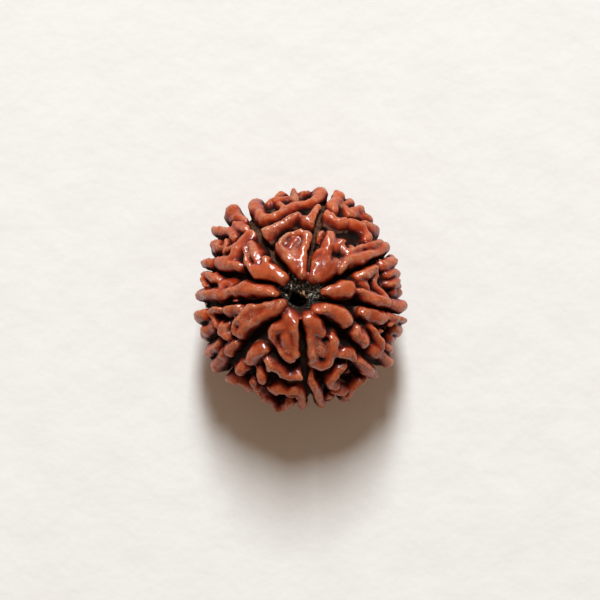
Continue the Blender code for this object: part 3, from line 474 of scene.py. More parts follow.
def make_manifold(field):
    """Pushes grid points just inside the stone, until no two parts meet at one edge or corner."""
    inside = field < 0.0
    while True:
        change = np.zeros_like(inside)
        for axis in range(3):
            square, marks = np.moveaxis(inside, axis, 2), np.moveaxis(change, axis, 2)
            a, b, c, d = square[:-1, :-1], square[1:, :-1], square[:-1, 1:], square[1:, 1:]
            marks[1:, :-1] |= a & d & ~b & ~c
            marks[:-1, :-1] |= b & c & ~a & ~d
        for x, y in ((1, 1), (1, -1), (-1, 1), (-1, -1)):
            view, marks = inside[::x, ::y], change[::x, ::y]
            low, high = view[:-1, :-1, :-1], view[1:, 1:, 1:]
            count = solid_corners(view)
            touching = low & high & (count == 2)
            marks[1:, :-1, :-1] |= touching
            marks[1:, 1:, :-1] |= touching
            marks[:-1, :-1, :-1] |= ~low & ~high & (count == 6)
        change &= ~inside
        if not change.any():
            return np.where(inside & (field >= 0.0), JUST_INSIDE, field)
        inside |= change


def solid_corners(inside):
    """How many corners of each cell of the grid lie in the stone."""
    size = np.array(inside.shape) - 1
    return sum(
        inside[i:size[0] + i, j:size[1] + j, k:size[2] + k].astype(np.int8) for i, j, k in CORNERS
    )


def surface_net(field, axes):
    """The zero surface of the field as points, one in each cell that it crosses, and outward quads."""
    inside = field < 0.0
    count = solid_corners(inside)
    cells = np.argwhere((count > 0) & (count < 8))
    number = np.full(count.shape, -1, dtype=np.int32)
    number[tuple(cells.T)] = np.arange(len(cells))
    total = np.zeros((len(cells), 3))
    crossings = np.zeros(len(cells))
    for corner in CORNERS:
        for axis in range(3):
            if corner[axis]:
                continue
            first = cells + corner
            second = first.copy()
            second[:, axis] += 1
            low, high = field[tuple(first.T)], field[tuple(second.T)]
            crossed = (low < 0.0) != (high < 0.0)
            share = np.where(crossed, low / np.where(crossed, low - high, 1.0), 0.0)
            place = first.astype(float)
            place[:, axis] += share
            total[crossed] += place[crossed]
            crossings += crossed
    start = np.array([axis[0] for axis in axes])
    step = axes[0][1] - axes[0][0]
    points = start + total / crossings[:, None] * step
    quads = []
    for axis in range(3):
        change = np.diff(inside.astype(np.int8), axis=axis)
        for way in (-1, 1):
            base = np.argwhere(change == way)
            ring = [
                number[tuple((base + np.roll((0, du, dv), axis)).T)]
                for du, dv in ((-1, -1), (0, -1), (0, 0), (-1, 0))
            ]
            quads.append(np.stack(ring[::-way], axis=1))
    return points, np.concatenate(quads)


def largest_surface(points, quads):
    """The stone's own surface, without loose scraps and sealed hollows."""
    label = np.arange(len(points))
    while True:
        lowest = label.copy()
        np.minimum.at(lowest, quads.ravel(), np.repeat(label[quads].min(axis=1), 4))
        lowest = lowest[lowest]
        if np.array_equal(lowest, label):
            break
        label = lowest
    kept = label == np.bincount(label).argmax()
    return points[kept], (np.cumsum(kept) - 1)[quads[kept[quads[:, 0]]]]


def mesh_from(name, points, faces):
    mesh = bpy.data.meshes.new(name)
    mesh.from_pydata(points.tolist(), [], faces.tolist())
    mesh.validate()
    return mesh


def add_object(name, data):
    obj = bpy.data.objects.new(name, data)
    scene.collection.objects.link(obj)
    return obj


def mesh_of(bm, name):
    mesh = bpy.data.meshes.new(name)
    bm.to_mesh(mesh)
    bm.free()
    return mesh


def decimated(mesh, triangles):
    """The mesh with about this many triangles, its curves keeping most of them."""
    obj = add_object("draft", mesh)
    modifier = obj.modifiers.new("fewer faces", "DECIMATE")
    modifier.ratio = triangles / (2.0 * len(mesh.polygons))
    modifier.use_collapse_triangulate = True
    graph = bpy.context.evaluated_depsgraph_get()
    result = bpy.data.meshes.new_from_object(obj.evaluated_get(graph))
    bpy.data.objects.remove(obj)
    return result


def cut_rest_spots(bm, height):
    """Cuts the stone off flat at this height and closes each cut."""
    geometry = bm.verts[:] + bm.edges[:] + bm.faces[:]
    bmesh.ops.bisect_plane(
        bm, geom=geometry, plane_co=(0.0, 0.0, height), plane_no=(0.0, 0.0, 1.0), clear_inner=True
    )
    rim = [edge for edge in bm.edges if edge.is_boundary]
    bmesh.ops.triangle_fill(bm, edges=rim, use_beauty=True, normal=(0.0, 0.0, -1.0))
    bmesh.ops.recalc_face_normals(bm, faces=bm.faces[:])


# The grid steps of the shown stone, and where the CAD's origin lies in the stone's own frame
VOXEL = 0.15
PIECE_TRIANGLES = 196000
STONE_ORIGIN = (-0.0131, 0.13, -9.388)

# Fine waves of the skin: length, number and size. They fade out just above the flat resting spots.
SKIN_WAVES = ((0.9, 11, 0.035), (0.45, 11, 0.018))
SKIN_FADE = 0.3

# The blur that tells creases from edges
BLUR = 0.4
BLUR_PASSES = 2

# How dusty each cleft's bed is
CLEFT_DUSTS = (0.12, 0.8, 0.75, 0.3, 0.1, 0.08, 0.08, 0.08, 0.1)

# The crust of crumbs round the stem hole, which runs out along the clefts
CRUMBS = 560
CRUMB_SIZES = (0.07, 0.26)
CRUMB_STRETCH = (0.35, 1.0)
CRUMB_LENGTH = 1.5
CRUMB_LUMPS = 0.22
CRUST_RADIUS = 2.15
CRUST_INNER = 0.08
CRUST_UNDER = 1.05
CRUST_FLOOR = 7.3
CRUST_SCATTER = 0.3
ARM_SHARE = 0.3
ARM_STARTS = 0.8 * CRUST_RADIUS
ARM_ENDS = (2.7, 2.4, 3.0, 3.0, 3.3, 2.2, 2.3, 2.2, 3.2)
ARM_SPREAD = 0.16

# The tuft of longer chips in the upper right of the hole
TUFT_CHIPS = 190
TUFT_CENTRE = (0.42, 0.62)
TUFT_RADII = (0.88, 0.7)
TUFT_HEIGHT = 7.8
TUFT_SCATTER = (-0.45, 0.25)
TUFT_FALL = 0.25
CHIP_LENGTH = 2.6
CHIP_SCALE = 0.85
CHIP_TINTS = (0.2, 1.0)

# The open hole that the crust leaves
HOLE_CENTRE = (-0.34, -0.4)
HOLE_RADII = (1.25, 0.72)
HOLE_SLANT = -45.0

# Loose fibres over the crust, which barely reach over the hole
FIBRES = 60
FIBRE_POINTS = 9
FIBRE_SIDES = 5
FIBRE_RADII = (0.012, 0.032)
FIBRE_TIP = 0.3
FIBRE_LENGTHS = (0.35, 1.3)
FIBRE_STARTS = (0.7, 2.7)
FIBRE_BEND = 1.1
FIBRE_RISES = (0.03, 0.16)
FIBRE_GAP = 0.02
FIBRE_UNDER = 0.7
FIBRE_OVER_HOLE = 0.85

# Pale dusty patches on the ridge tops: azimuth, colatitude, radius
DUST = [
    (38, 36, 1.3), (44, 43, 0.9), (113, 38, 1.0), (104, 41, 1.0), (100, 33, 0.8), (288, 36, 1.2),
    (243, 42, 1.0), (113, 49, 1.1), (106, 28, 1.0), (88, 34, 0.7), (200, 38, 1.4), (328, 38, 0.9),
    (205, 54, 0.7), (16, 49, 0.9), (343, 34, 0.8), (137, 45, 0.9), (147, 42, 0.8), (256, 34, 0.6),
    (92, 78, 1.2), (104, 86, 1.0), (36, 70, 1.2), (65, 80, 1.1), (194, 20, 0.6), (150, 62, 0.8),
]


def stone_field(voxel):
    """The CAD's field on a grid, with the lift of the ridge at each point and the grid's axes."""
    wide = CREST_EQUATOR + MARGIN
    tall = CREST_POLE + MARGIN
    axes = [np.arange(-size, size + voxel, voxel, dtype=np.float32) for size in (wide, wide, tall)]
    points = np.stack(np.meshgrid(*axes, indexing="ij"), axis=-1)
    draw = np.random.default_rng(SEED)
    for axis in range(3):
        points[..., axis] += WARP * wave_noise(points, *WARP_WAVES, draw)
    radius = np.sqrt((points * points).sum(axis=-1))
    unit = points / np.maximum(radius, 1e-6)[..., None]
    field = radius - (crest_radius(unit[..., 2]) - floor_depth(unit[..., 2]))
    trenches = []
    for index in range(len(CLEFTS)):
        bed, trench = cleft_distances(index, unit, radius)
        field = np.minimum(field, bed)
        trenches.append(trench)
    lifts = np.zeros_like(field)
    turn = random.Random(SEED)
    stem_half = [past_the_rim(face, turn) for face in STEM_HALF]
    for face in stem_half + hidden_half(turn):
        for nodes in face:
            stroke = curve_through(nodes)
            block = segment_blocks(stroke, axes)
            ridge, lift = ridge_distance(stroke, unit[block], radius[block])
            lifts[block] = np.where(ridge < field[block], lift, lifts[block])
            field[block] = smooth_union(field[block], ridge, RIDGE_BLEND)
    for trench in trenches:
        field = smooth_cut(field, trench, CLEFT_BLEND)
    for hollow in HOLLOWS:
        field = smooth_cut(field, hollow_distance(hollow, unit, radius), HOLLOW_BLEND)
    field += SWELL * wave_noise(points, *SWELL_WAVES, draw)
    off_axis = np.hypot(points[..., 0] - BORE_CENTRE[0], points[..., 1] - BORE_CENTRE[1])
    above = np.maximum(np.abs(points[..., 2]) - (CREST_POLE - MOUTH_DEPTH), 0.0)
    flare = np.minimum(above / MOUTH_DEPTH, FLARE_END)
    bore = off_axis - BORE_RADIUS - (MOUTH_RADIUS - BORE_RADIUS) * flare
    return smooth_cut(field, bore, BORE_BLEND), lifts, axes


def box_blur(grid, cells, passes):
    """The grid averaged over a cube of this many cells each way, again and again."""
    width = 2 * cells + 1
    for axis in (0, 1, 2) * passes:
        pad = [(0, 0)] * 3
        pad[axis] = (cells + 1, cells)
        total = np.cumsum(np.pad(grid, pad), axis=axis, dtype=np.float64)
        total = np.moveaxis(total, axis, 0)
        grid = np.moveaxis((total[width:] - total[:-width]) / width, 0, axis).astype(np.float32)
    return grid


def sample(grid, axes, points):
    """Values of the grid at these points, straight between its own points."""
    step = axes[0][1] - axes[0][0]
    place = (points - np.array([axis[0] for axis in axes])) / step
    low = np.clip(np.floor(place).astype(int), 0, np.array(grid.shape) - 2)
    share = np.clip(place - low, 0.0, 1.0)
    total = 0.0
    for corner in CORNERS:
        weight = np.prod(np.where(np.array(corner) == 1, share, 1.0 - share), axis=1)
        total = total + weight * grid[tuple((low + corner).T)]
    return total


def vertex_rows(mesh, name):
    """The vertices' places ("co") or normals ("normal"), a row each."""
    rows = np.empty(len(mesh.vertices) * 3)
    mesh.vertices.foreach_get(name, rows)
    return rows.reshape(-1, 3)


def put_attributes(mesh, **attributes):
    for name, values in attributes.items():
        data = mesh.attributes.new(name, "FLOAT", "POINT").data
        data.foreach_set("value", values.astype(np.float32))


def to_frame(points):
    """Points of the stone's own frame in the CAD's, in metres."""
    return (points - np.array(STONE_ORIGIN)) * MM


def patches(points, places):
    """0 to 1: how near each point is to one of these places on the stone."""
    best = np.zeros(len(points))
    for *place, size in places:
        middle = direction(*place)
        middle = middle * crest_radius(middle[2])
        gap = np.linalg.norm(points - middle, axis=1)
        best = np.maximum(best, np.exp(-((gap / size) ** 2)))
    return best


def make_seed(field, lifts, axes):
    points, quads = largest_surface(*surface_net(make_manifold(field), axes))
    bm = bmesh.new()
    bm.from_mesh(decimated(mesh_from("draft", points, quads), PIECE_TRIANGLES))
    cut_rest_spots(bm, STONE_ORIGIN[2])
    bmesh.ops.triangulate(bm, faces=bm.faces[:])
    mesh = mesh_of(bm, "seed_stone")
    points, normals = vertex_rows(mesh, "co"), vertex_rows(mesh, "normal")
    radius = np.linalg.norm(points, axis=1)
    unit = points / radius[:, None]
    trenches = np.array([cleft_distances(index, unit, radius)[1] for index in range(len(CLEFTS))])
    near = box_blur(field < 0.0, round(BLUR / float(axes[0][1] - axes[0][0])), BLUR_PASSES)
    put_attributes(
        mesh,
        drop=crest_radius(unit[:, 2]) + sample(lifts, axes, points) - radius,
        crown=(normals * unit).sum(axis=1),
        hollow=sample(near, axes, points),
        cleft=trenches.min(axis=0),
        bed_dust=np.array(CLEFT_DUSTS)[trenches.argmin(axis=0)],
        dust=patches(points, DUST),
        off_axis=np.hypot(points[:, 0], points[:, 1]),
    )
    draw = np.random.default_rng(SEED + 1)
    bumps = sum(size * wave_noise(points, *waves, draw) for *waves, size in SKIN_WAVES)
    held = smooth_step((points[:, 2] - STONE_ORIGIN[2]) / SKIN_FADE)
    moved = to_frame(points + normals * (bumps * held)[:, None])
    mesh.vertices.foreach_set("co", moved.astype(np.float32).ravel())
    mesh.shade_smooth()
    mesh.update()
    return mesh


def height_map(field, axes):
    """The height of the highest solid point in each column of the grid."""
    inside = field < 0.0
    top = field.shape[2] - 1 - inside[:, :, ::-1].argmax(axis=2)
    top = np.clip(top, 0, field.shape[2] - 2)
    low = np.take_along_axis(field, top[..., None], axis=2)[..., 0]
    high = np.take_along_axis(field, top[..., None] + 1, axis=2)[..., 0]
    share = np.clip(low / np.minimum(low - high, -1e-6), 0.0, 1.0)
    step = axes[2][1] - axes[2][0]
    return np.where(inside.any(axis=2), axes[2][0] + (top + share) * step, axes[2][0])


def height_at(heights, axes, x, y):
    step = axes[0][1] - axes[0][0]
    column = np.clip(np.round((x - axes[0][0]) / step).astype(int), 0, heights.shape[0] - 1)
    line = np.clip(np.round((y - axes[1][0]) / step).astype(int), 0, heights.shape[1] - 1)
    return heights[column, line]


def crest_height(across):
    """Height of the crest spheroid at this distance from the axis."""
    return CREST_POLE * np.sqrt(np.maximum(1.0 - (across / CREST_EQUATOR) ** 2, 0.0))


def over_hole(x, y):
    """Below 1 over the open hole, whose mouth the crust leaves as a slanted oval."""
    cosine, sine = cos(radians(HOLE_SLANT)), sin(radians(HOLE_SLANT))
    x, y = x - HOLE_CENTRE[0], y - HOLE_CENTRE[1]
    along, across = x * cosine + y * sine, y * cosine - x * sine
    return np.hypot(along / HOLE_RADII[0], across / HOLE_RADII[1])


def crust_places(heights, axes, draw):
    """Places of crumbs in the basin round the hole and in the inner ends of the clefts."""
    found = []
    while len(found) < CRUMBS:
        if draw.random() < ARM_SHARE:
            index = int(draw.integers(len(CLEFTS)))
            across = draw.uniform(ARM_STARTS, ARM_ENDS[index])
            turn = radians(cleft_azimuth(index, degrees(across / CREST_POLE)))
            turn += draw.normal() * ARM_SPREAD / across
        else:
            across = CRUST_RADIUS * sqrt(draw.uniform(CRUST_INNER, 1.0))
            turn = draw.uniform(0.0, tau)
        x, y = across * cos(turn), across * sin(turn)
        height = float(height_at(heights, axes, np.array(x), np.array(y)))
        if height < crest_height(across) - CRUST_UNDER and over_hole(x, y) > 1.0:
            found.append((x, y, max(height, CRUST_FLOOR + draw.uniform(0.0, CRUST_SCATTER))))
    return np.array(found)


def tuft_places(draw):
    """Places of the tuft's chips."""
    found = []
    for _ in range(TUFT_CHIPS):
        turn = draw.uniform(0.0, tau)
        reach = sqrt(draw.random())
        x = TUFT_CENTRE[0] + TUFT_RADII[0] * reach * cos(turn)
        y = TUFT_CENTRE[1] + TUFT_RADII[1] * reach * sin(turn)
        if over_hole(x, y) > 1.0:
            found.append((x, y, TUFT_HEIGHT + draw.uniform(*TUFT_SCATTER) - TUFT_FALL * reach))
    return np.array(found)


def make_crumbs(heights, axes):
    draw = np.random.default_rng(SEED + 2)
    bm = bmesh.new()
    bmesh.ops.create_icosphere(bm, subdivisions=2, radius=1.0)
    ball = np.array([vert.co[:] for vert in bm.verts])
    triangles = np.array([[vert.index for vert in face.verts] for face in bm.faces])
    bm.free()
    crust, tuft = crust_places(heights, axes, draw), tuft_places(draw)
    places = np.concatenate([crust, tuft])
    count = len(places)
    in_tuft = np.arange(count) >= len(crust)
    size = draw.uniform(*CRUMB_SIZES, size=count)
    stretch = draw.uniform(*CRUMB_STRETCH, size=(count, 3))
    stretch[:, 0] *= np.where(in_tuft, CHIP_LENGTH, CRUMB_LENGTH)
    size = np.where(in_tuft, size * CHIP_SCALE, size)
    lumps = 1.0 + CRUMB_LUMPS * draw.normal(size=(count, len(ball), 1))
    shapes = ball * lumps * (size[:, None] * stretch)[:, None, :]
    turns, _ = np.linalg.qr(draw.normal(size=(count, 3, 3)))
    shapes = np.einsum("nvi,nij->nvj", shapes, turns)
    points = to_frame((shapes + places[:, None, :]).reshape(-1, 3))
    faces = triangles[None] + (np.arange(count) * len(ball))[:, None, None]
    mesh = mesh_from("stem_crumbs", points, faces.reshape(-1, 3))
    tint = np.where(in_tuft, draw.uniform(*CHIP_TINTS, size=count), draw.random(size=count) ** 2.0)
    put_attributes(mesh, tint=np.repeat(tint, len(ball)), tuft=np.repeat(in_tuft, len(ball)))
    mesh.shade_smooth()
    return mesh


def fibre_path(heights, axes, draw):
    """The points of one loose fibre that lies over the crust."""
    turn = draw.uniform(0.0, tau)
    across = draw.uniform(*FIBRE_STARTS)
    heading = draw.uniform(0.0, tau)
    bend = draw.normal() * FIBRE_BEND
    length = draw.uniform(*FIBRE_LENGTHS)
    share = np.linspace(0.0, 1.0, FIBRE_POINTS)
    angle = heading + bend * share
    step = length / (FIBRE_POINTS - 1)
    x = across * cos(turn) + np.cumsum(np.cos(angle)) * step
    y = across * sin(turn) + np.cumsum(np.sin(angle)) * step
    below = np.maximum(height_at(heights, axes, x, y), CRUST_FLOOR)
    line = np.interp(share, (0.0, 1.0), (below[0], below[-1]))
    rise = draw.uniform(*FIBRE_RISES) * np.sin(pi * share)
    return np.stack([x, y, np.maximum(line, below) + FIBRE_GAP + rise], axis=1)


def tube(path, radius):
    """Points and faces of a thin tube with pointed ends."""
    ahead = np.gradient(path, axis=0)
    ahead /= np.linalg.norm(ahead, axis=1, keepdims=True)
    side = np.cross(ahead, (0.0, 0.0, 1.0))
    side /= np.maximum(np.linalg.norm(side, axis=1, keepdims=True), 1e-6)
    over = np.cross(side, ahead)
    slim = FIBRE_TIP + (1.0 - FIBRE_TIP) * np.sin(pi * np.linspace(0.0, 1.0, len(path)))
    turns = (np.arange(FIBRE_SIDES) * tau / FIBRE_SIDES)[None, :, None]
    rim = side[:, None] * np.cos(turns) + over[:, None] * np.sin(turns)
    points = (path[:, None] + rim * (radius * slim)[:, None, None]).reshape(-1, 3)
    first = len(points)
    end = first - FIBRE_SIDES
    faces = []
    for row in range(0, end, FIBRE_SIDES):
        for column in range(FIBRE_SIDES):
            a, b = row + column, row + (column + 1) % FIBRE_SIDES
            faces += [(a, b, b + FIBRE_SIDES), (a, b + FIBRE_SIDES, a + FIBRE_SIDES)]
    for column in range(FIBRE_SIDES):
        after = (column + 1) % FIBRE_SIDES
        faces += [(first, after, column), (first + 1, end + column, end + after)]
    return np.concatenate([points, path[:1], path[-1:]]), np.array(faces)


def make_fibres(heights, axes):
    draw = np.random.default_rng(SEED + 3)
    points, faces, tints = [], [], []
    start = 0
    while len(points) < FIBRES:
        path = fibre_path(heights, axes, draw)
        x, y, z = path.T
        if (z > crest_height(np.hypot(x, y)) - FIBRE_UNDER).any():
            continue
        if over_hole(x, y).min() < FIBRE_OVER_HOLE:
            continue
        some, sides = tube(path, draw.uniform(*FIBRE_RADII))
        points.append(some)
        faces.append(sides + start)
        tints.append(np.full(len(some), draw.random()))
        start += len(some)
    mesh = mesh_from("stem_fibres", to_frame(np.concatenate(points)), np.concatenate(faces))
    put_attributes(mesh, tint=np.concatenate(tints))
    mesh.shade_smooth()
    return mesh


class Graph:
    """A procedural material on a Principled shader."""

    def __init__(self, name, attributes=(), clouds=()):
        self.material = bpy.data.materials.new(name)
        self.material.use_nodes = True
        self.tree = self.material.node_tree
        self.place = self.node("ShaderNodeTexCoord").outputs["Object"]
        self.values = {cloud: self.noise(*settings) for cloud, settings in dict(clouds).items()}
        for key in attributes:
            self.values[key] = self.node("ShaderNodeAttribute", attribute_name=key).outputs["Fac"]

    def node(self, kind, inputs=(), **settings):
        node = self.tree.nodes.new(kind)
        for name, value in settings.items():
            setattr(node, name, value)
        return self.put(node, inputs)

    def put(self, node, inputs):
        for key, value in dict(inputs).items():
            if isinstance(value, bpy.types.NodeSocket):
                self.tree.links.new(value, node.inputs[key])
            else:
                node.inputs[key].default_value = value
        return node

    def finished(self, inputs):
        self.put(self.tree.nodes["Principled BSDF"], inputs)
        return self.material

    def noise(self, length, detail=3.0, rough=0.55):
        """Cloud noise, 0 to 1, whose patches are about this many millimetres long."""
        return self.texture("Noise", length, {"Detail": detail, "Roughness": rough}).outputs["Fac"]

    def texture(self, kind, length, inputs=()):
        inputs = {"Vector": self.place, "Scale": 1.0 / (length * MM), **dict(inputs)}
        return self.node("ShaderNodeTex" + kind, inputs)

    def math(self, operation, *values):
        return self.node("ShaderNodeMath", enumerate(values), operation=operation).outputs[0]

    def moved(self, base, moves):
        """The base with shares of the named values added, each from its middle if it has one."""
        for name, share, *middle in moves:
            value = self.math("SUBTRACT", self.values[name], *middle) if middle else self.values[name]
            base = self.math("MULTIPLY_ADD", value, share, base)
        return base

    def share(self, parts):
        """The product of the values with these names, each over its span if it has one."""
        product = 1.0
        for name, *span in parts:
            value = self.values[name]
            product = self.math("MULTIPLY", product, self.span(value, *span) if span else value)
        return product

    def span(self, value, low, high, to_low=0.0, to_high=1.0):
        """A smooth step from to_low, at low, to to_high, at high."""
        names = ("Value", "From Min", "From Max", "To Min", "To Max")
        inputs = zip(names, (value, low, high, to_low, to_high))
        node = self.node("ShaderNodeMapRange", inputs, interpolation_type="SMOOTHSTEP")
        return node.outputs["Result"]

    def mix(self, share, first, second, blend="MIX"):
        inputs = {0: share, 6: first, 7: second}
        return self.node("ShaderNodeMix", inputs, data_type="RGBA", blend_type=blend).outputs[2]

    def ramp(self, value, stops):
        node = self.node("ShaderNodeValToRGB", {"Fac": value})
        elements = node.color_ramp.elements
        elements[0].position, elements[0].color = stops[0]
        elements[-1].position, elements[-1].color = stops[-1]
        for position, colour in stops[1:-1]:
            elements.new(position).color = colour
        return node.outputs["Color"]

    def bump(self, height, distance, strength):
        inputs = {"Height": height, "Distance": distance * MM, "Strength": strength}
        return self.node("ShaderNodeBump", inputs).outputs["Normal"]


def tone(red, green, blue):
    """A colour given as a screen shows it, 0 to 255, as the shader wants it."""
    out = []
    for part in (red, green, blue):
        part /= 255.0
        out.append(part / 12.92 if part <= 0.04045 else ((part + 0.055) / 1.055) ** 2.4)
    return (*out, 1.0)


# The body's tones from crest to valley darken with depth: painted shade down the walls and in the
# valleys, with some dirt
CREST = tone(186, 79, 36)
CREST_RED = tone(168, 56, 19)
WALL = tone(132, 35, 8)
WALL_DEEP = tone(78, 17, 6)
SHADE = tone(38, 12, 6)
VALLEY_DIRT_AND_SHADE = tone(26, 13, 9)
# Pale tone of worn, dusty crest edges, which also stands in for a painted sheen on the tops
PALE_WEAR_AND_SHEEN = tone(204, 132, 92)
BEIGE = tone(190, 136, 106)
CLEFT_DUST = tone(118, 76, 54)
CLEFT_DARK = tone(26, 17, 12)
CRUST = tone(22, 17, 14)
CRUMB_BLACK = tone(14, 12, 11)
CRUMB_BROWN = tone(66, 42, 26)
CRUMB_GREY = tone(128, 116, 102)
CRUMB_PALE = tone(186, 172, 152)
CHIP_DARK = tone(38, 22, 14)
CHIP_BROWN = tone(112, 66, 34)
CHIP_PALE = tone(190, 146, 100)
PAPER_TONES = (tone(238, 234, 228), tone(245, 242, 237))

# Colours from the crests down, by share of the depth that ends in the valleys' colour: painted shade,
# with some dirt, darker down the walls and in the valleys
BODY_DEPTH = 2.2
BODY_STOPS = [
    (0.0, CREST), (0.12, CREST_RED), (0.3, WALL), (0.5, WALL_DEEP), (0.7, SHADE), (0.9, VALLEY_DIRT_AND_SHADE)
]
CRUMB_STOPS = [(0.45, CRUMB_BLACK), (0.6, CRUMB_BROWN), (0.8, CRUMB_GREY), (1.0, CRUMB_PALE)]
CHIP_STOPS = [(0.5, CHIP_DARK), (0.75, CHIP_BROWN), (1.0, CHIP_PALE)]
FIBRE_STOPS = [(0.0, CHIP_DARK), (0.4, CHIP_BROWN), (0.7, CRUMB_GREY), (1.0, CRUMB_PALE)]

# What the coat goes by: the mesh's attributes, and clouds by their length, detail and roughness
COAT_ATTRIBUTES = ("drop", "crown", "hollow", "cleft", "bed_dust", "dust", "off_axis")
COAT_CLOUDS = {
    "broad": (2.4,), "patch": (1.7, 2.0), "mottle": (0.8, 4.0), "fine": (0.28, 4.0, 0.65),
    "speck": (0.2,), "grain": (0.16,), "crumb": (0.14,), "skin": (0.11,),
}

# What moves the colour's depth: by how many millimetres, and from which middle. The hollow and crown
# moves are painted shade, darker in creases and on walls that face sideways; the mottle is the skin's
# own uneven tone
DEPTH_MOVES = (("mottle", 0.7, 0.5), ("hollow", 3.8, 0.45), ("crown", -0.3, 0.9))

# Shares, as products of values over spans: where each value counts 0 and where 1, or else what it
# counts there. Drop and depth are millimetres under the crest, and crown how far the skin faces out.
REDDENED = [("broad", 0.42, 0.66, 0.0, 0.5)]
GRIME = [("dust", 0.15, 0.75), ("mottle", 0.38, 0.6), ("drop", 1.0, 0.3)]
LAYERS = [
    # Pale convex crest edges near the tops: wear and dust, and partly a painted sheen
    (PALE_WEAR_AND_SHEEN, ("hollow", 0.44, 0.3), ("fine", 0.38, 0.6), ("depth", 0.7, 0.0, 0.0, 0.62)),
    (BEIGE, ("grime",), ("grain", 0.38, 0.6, 0.05, 0.75)),
    # Painted shade with some dirt: the dark valley tone laid into the creases
    (VALLEY_DIRT_AND_SHADE, ("hollow", 0.54, 0.74, 0.0, 0.8)),
    (BEIGE, ("drop", 0.85, 1.0), ("drop", 1.3, 1.15), ("patch", 0.52, 0.66, 0.0, 0.28)),
]
SPECKS = [("speck", 0.44, 0.62)]
BED_DUST = [("specks", 0.0, 1.0, 0.35, 1.0), ("bed_dust",)]
BED = [("cleft", 0.22, 0.05), ("crown", 0.3, 0.8), ("drop", 0.5, 0.9), ("off_axis", 2.4, 3.6)]
CRUST_BROWN = [("crumb", 0.5, 0.62)]
CRUST_PLACE = [("off_axis", 2.9, 2.2), ("drop", 0.6, 1.0)]
ROUGH = [("depth", 0.5, 1.6, 0.4, 0.85)]
ROUGH_MOVES = (("grime", 0.2), ("fine", 0.2, 0.5))
WAX = [
    ("depth", 1.2, 0.3), ("off_axis", 7.0, 10.2, 1.0, 0.25), ("crown", 0.1, 0.65, 0.35, 1.0),
    ("fine", 0.3, 0.55, 0.6, 1.0), ("grime", 0.0, 1.0, 1.0, 0.4),
]

# Relief of the skin: its pores, their share and the finest cloud's, and the bump's depth and strength
PORE_CELLS = 0.34
PORES = [("cells", 0.1, 0.5)]
SKIN_MOVES = (("pores", 0.35), ("skin", 0.3))
SKIN_BUMP = (0.014, 0.6)


def seed_material():
    g = Graph("waxed seed coat", COAT_ATTRIBUTES, COAT_CLOUDS)
    at = g.values
    # The depth carries painted shade from the hollow and crown moves
    at["depth"] = g.moved(at["drop"], DEPTH_MOVES)
    at["cells"] = g.texture("Voronoi", PORE_CELLS).outputs["Distance"]
    for name, parts in (("grime", GRIME), ("specks", SPECKS), ("pores", PORES)):
        at[name] = g.share(parts)
    # Painted shade with some dirt: the body darkens from the crests down into the valleys
    body = g.ramp(g.math("DIVIDE", at["depth"], BODY_DEPTH), BODY_STOPS)
    body = g.mix(g.share(REDDENED), body, CREST_RED, "MULTIPLY")
    for colour, *parts in LAYERS:
        body = g.mix(g.share(parts), body, colour)
    body = g.mix(g.share(BED), body, g.mix(g.share(BED_DUST), CLEFT_DARK, CLEFT_DUST))
    body = g.mix(g.share(CRUST_PLACE), body, g.mix(g.share(CRUST_BROWN), CRUST, CRUMB_BROWN))
    skin = g.bump(g.moved(at["fine"], SKIN_MOVES), *SKIN_BUMP)
    return g.finished({
        "Base Color": body,
        "Roughness": g.moved(g.share(ROUGH), ROUGH_MOVES),
        "Normal": skin,
        "Coat Normal": skin,
        "Coat Weight": g.share(WAX),
        "Coat Roughness": 0.22,
        "Coat IOR": 1.72,
        "Specular IOR Level": 0.15,
        "Subsurface Weight": 0.1,
        "Subsurface Radius": (1.0, 0.32, 0.14),
        "Subsurface Scale": 0.45 * MM,
    })


def crumb_material():
    g = Graph("dry crumbs", ("tint", "tuft"), {"fine": (0.06,)})
    shade = g.moved(g.values["tint"], (("fine", 0.3, 0.5),))
    return g.finished({
        "Base Color": g.mix(g.values["tuft"], g.ramp(shade, CRUMB_STOPS), g.ramp(shade, CHIP_STOPS)),
        "Roughness": g.share([("fine", 0.3, 0.7, 0.4, 0.75)]),
        "Normal": g.bump(g.values["fine"], 0.02, 0.6),
    })


def fibre_material():
    g = Graph("dry fibres", ("tint",), {"fine": (0.08, 2.0)})
    return g.finished({
        "Base Color": g.ramp(g.moved(g.values["tint"], (("fine", 0.25, 0.5),)), FIBRE_STOPS),
        "Roughness": g.share([("fine", 0.3, 0.7, 0.45, 0.7)]),
    })


def paper_material():
    g = Graph("pale paper", (), {"waves": (6.0,), "fine": (0.5,), "fibres": (0.4,)})
    return g.finished({
        "Base Color": g.mix(g.values["waves"], *PAPER_TONES),
        "Roughness": g.share([("fine", 0.3, 0.7, 0.8, 0.9)]),
        "Normal": g.bump(g.moved(g.values["waves"], (("fibres", 0.06),)), 0.5, 0.5),
    })


def add_piece(mesh, material):
    piece = add_object(mesh.name, mesh)
    mesh.materials.append(material)
    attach(piece, "root")
    return piece


field, lifts, axes = stone_field(VOXEL)
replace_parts(add_piece(make_seed(field, lifts, axes), seed_material()), "seed")
heights = height_map(field, axes)
add_piece(make_crumbs(heights, axes), crumb_material())
add_piece(make_fibres(heights, axes), fibre_material())

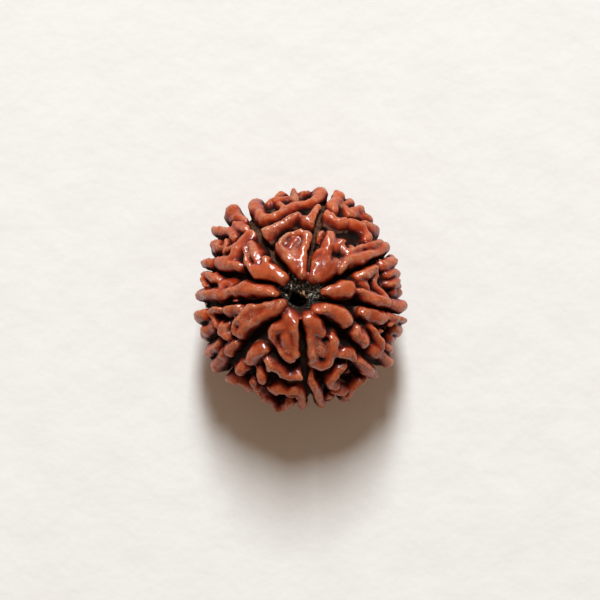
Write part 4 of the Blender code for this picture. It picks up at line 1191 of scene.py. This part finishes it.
# Camera, light and floor, in metres but for the frame's shift
SEED_CENTRE = Vector([-value * MM for value in STONE_ORIGIN])
CAMERA_ELEVATION = 87.0
CAMERA_DISTANCE = 0.4
CAMERA_CLIP = (0.01, 10.0)
SENSOR_WIDTH = 36.0
FRAME_WIDTH = 0.063
FRAME_SHIFT = (-0.105, 0.0945)
LIGHT_ELEVATION = 52.0
LIGHT_DISTANCE = 1.2
LIGHT_SIZE = (0.19, 0.56)
LIGHT_POWER = 16.0
LIGHT_COLOUR = (0.93, 1.0, 1.05)
FILL_COLOUR = (1.0, 0.74, 0.53, 1.0)
FILL = 0.235
FLOOR_HALF = 1.5


def aim(obj, target, away, distance):
    """Puts a camera or light this far away from the target, facing it."""
    obj.location = target + away * distance
    obj.rotation_euler = (-away).to_track_quat("-Z", "Y").to_euler()


def make_camera():
    data = bpy.data.cameras.new("camera")
    tilt = radians(CAMERA_ELEVATION)
    back = Vector((0.0, -cos(tilt), sin(tilt)))
    up = Vector((0.0, sin(tilt), cos(tilt)))
    target = SEED_CENTRE + Vector((FRAME_SHIFT[0] * MM, 0.0, 0.0)) + up * FRAME_SHIFT[1] * MM
    data.sensor_width = SENSOR_WIDTH
    data.lens = SENSOR_WIDTH * CAMERA_DISTANCE / FRAME_WIDTH
    data.clip_start, data.clip_end = CAMERA_CLIP
    scene.camera = add_object("camera", data)
    aim(scene.camera, target, back, CAMERA_DISTANCE)


def make_light():
    data = bpy.data.lights.new("window", "AREA")
    data.shape = "RECTANGLE"
    data.size, data.size_y = LIGHT_SIZE
    data.energy = LIGHT_POWER
    data.color = LIGHT_COLOUR
    tilt = radians(LIGHT_ELEVATION)
    away = Vector((0.0, cos(tilt), sin(tilt)))
    aim(add_object("window", data), SEED_CENTRE, away, LIGHT_DISTANCE)
    world = bpy.data.worlds.new("room")
    world.use_nodes = True
    inputs = world.node_tree.nodes["Background"].inputs
    inputs["Color"].default_value = FILL_COLOUR
    inputs["Strength"].default_value = FILL
    scene.world = world
    scene.view_settings.view_transform = "Standard"


def make_floor():
    bm = bmesh.new()
    bmesh.ops.create_grid(bm, x_segments=1, y_segments=1, size=FLOOR_HALF)
    mesh = mesh_of(bm, "floor")
    mesh.materials.append(paper_material())
    add_object("floor", mesh)


make_camera()
make_light()
make_floor()

bpy.context.view_layer.update()
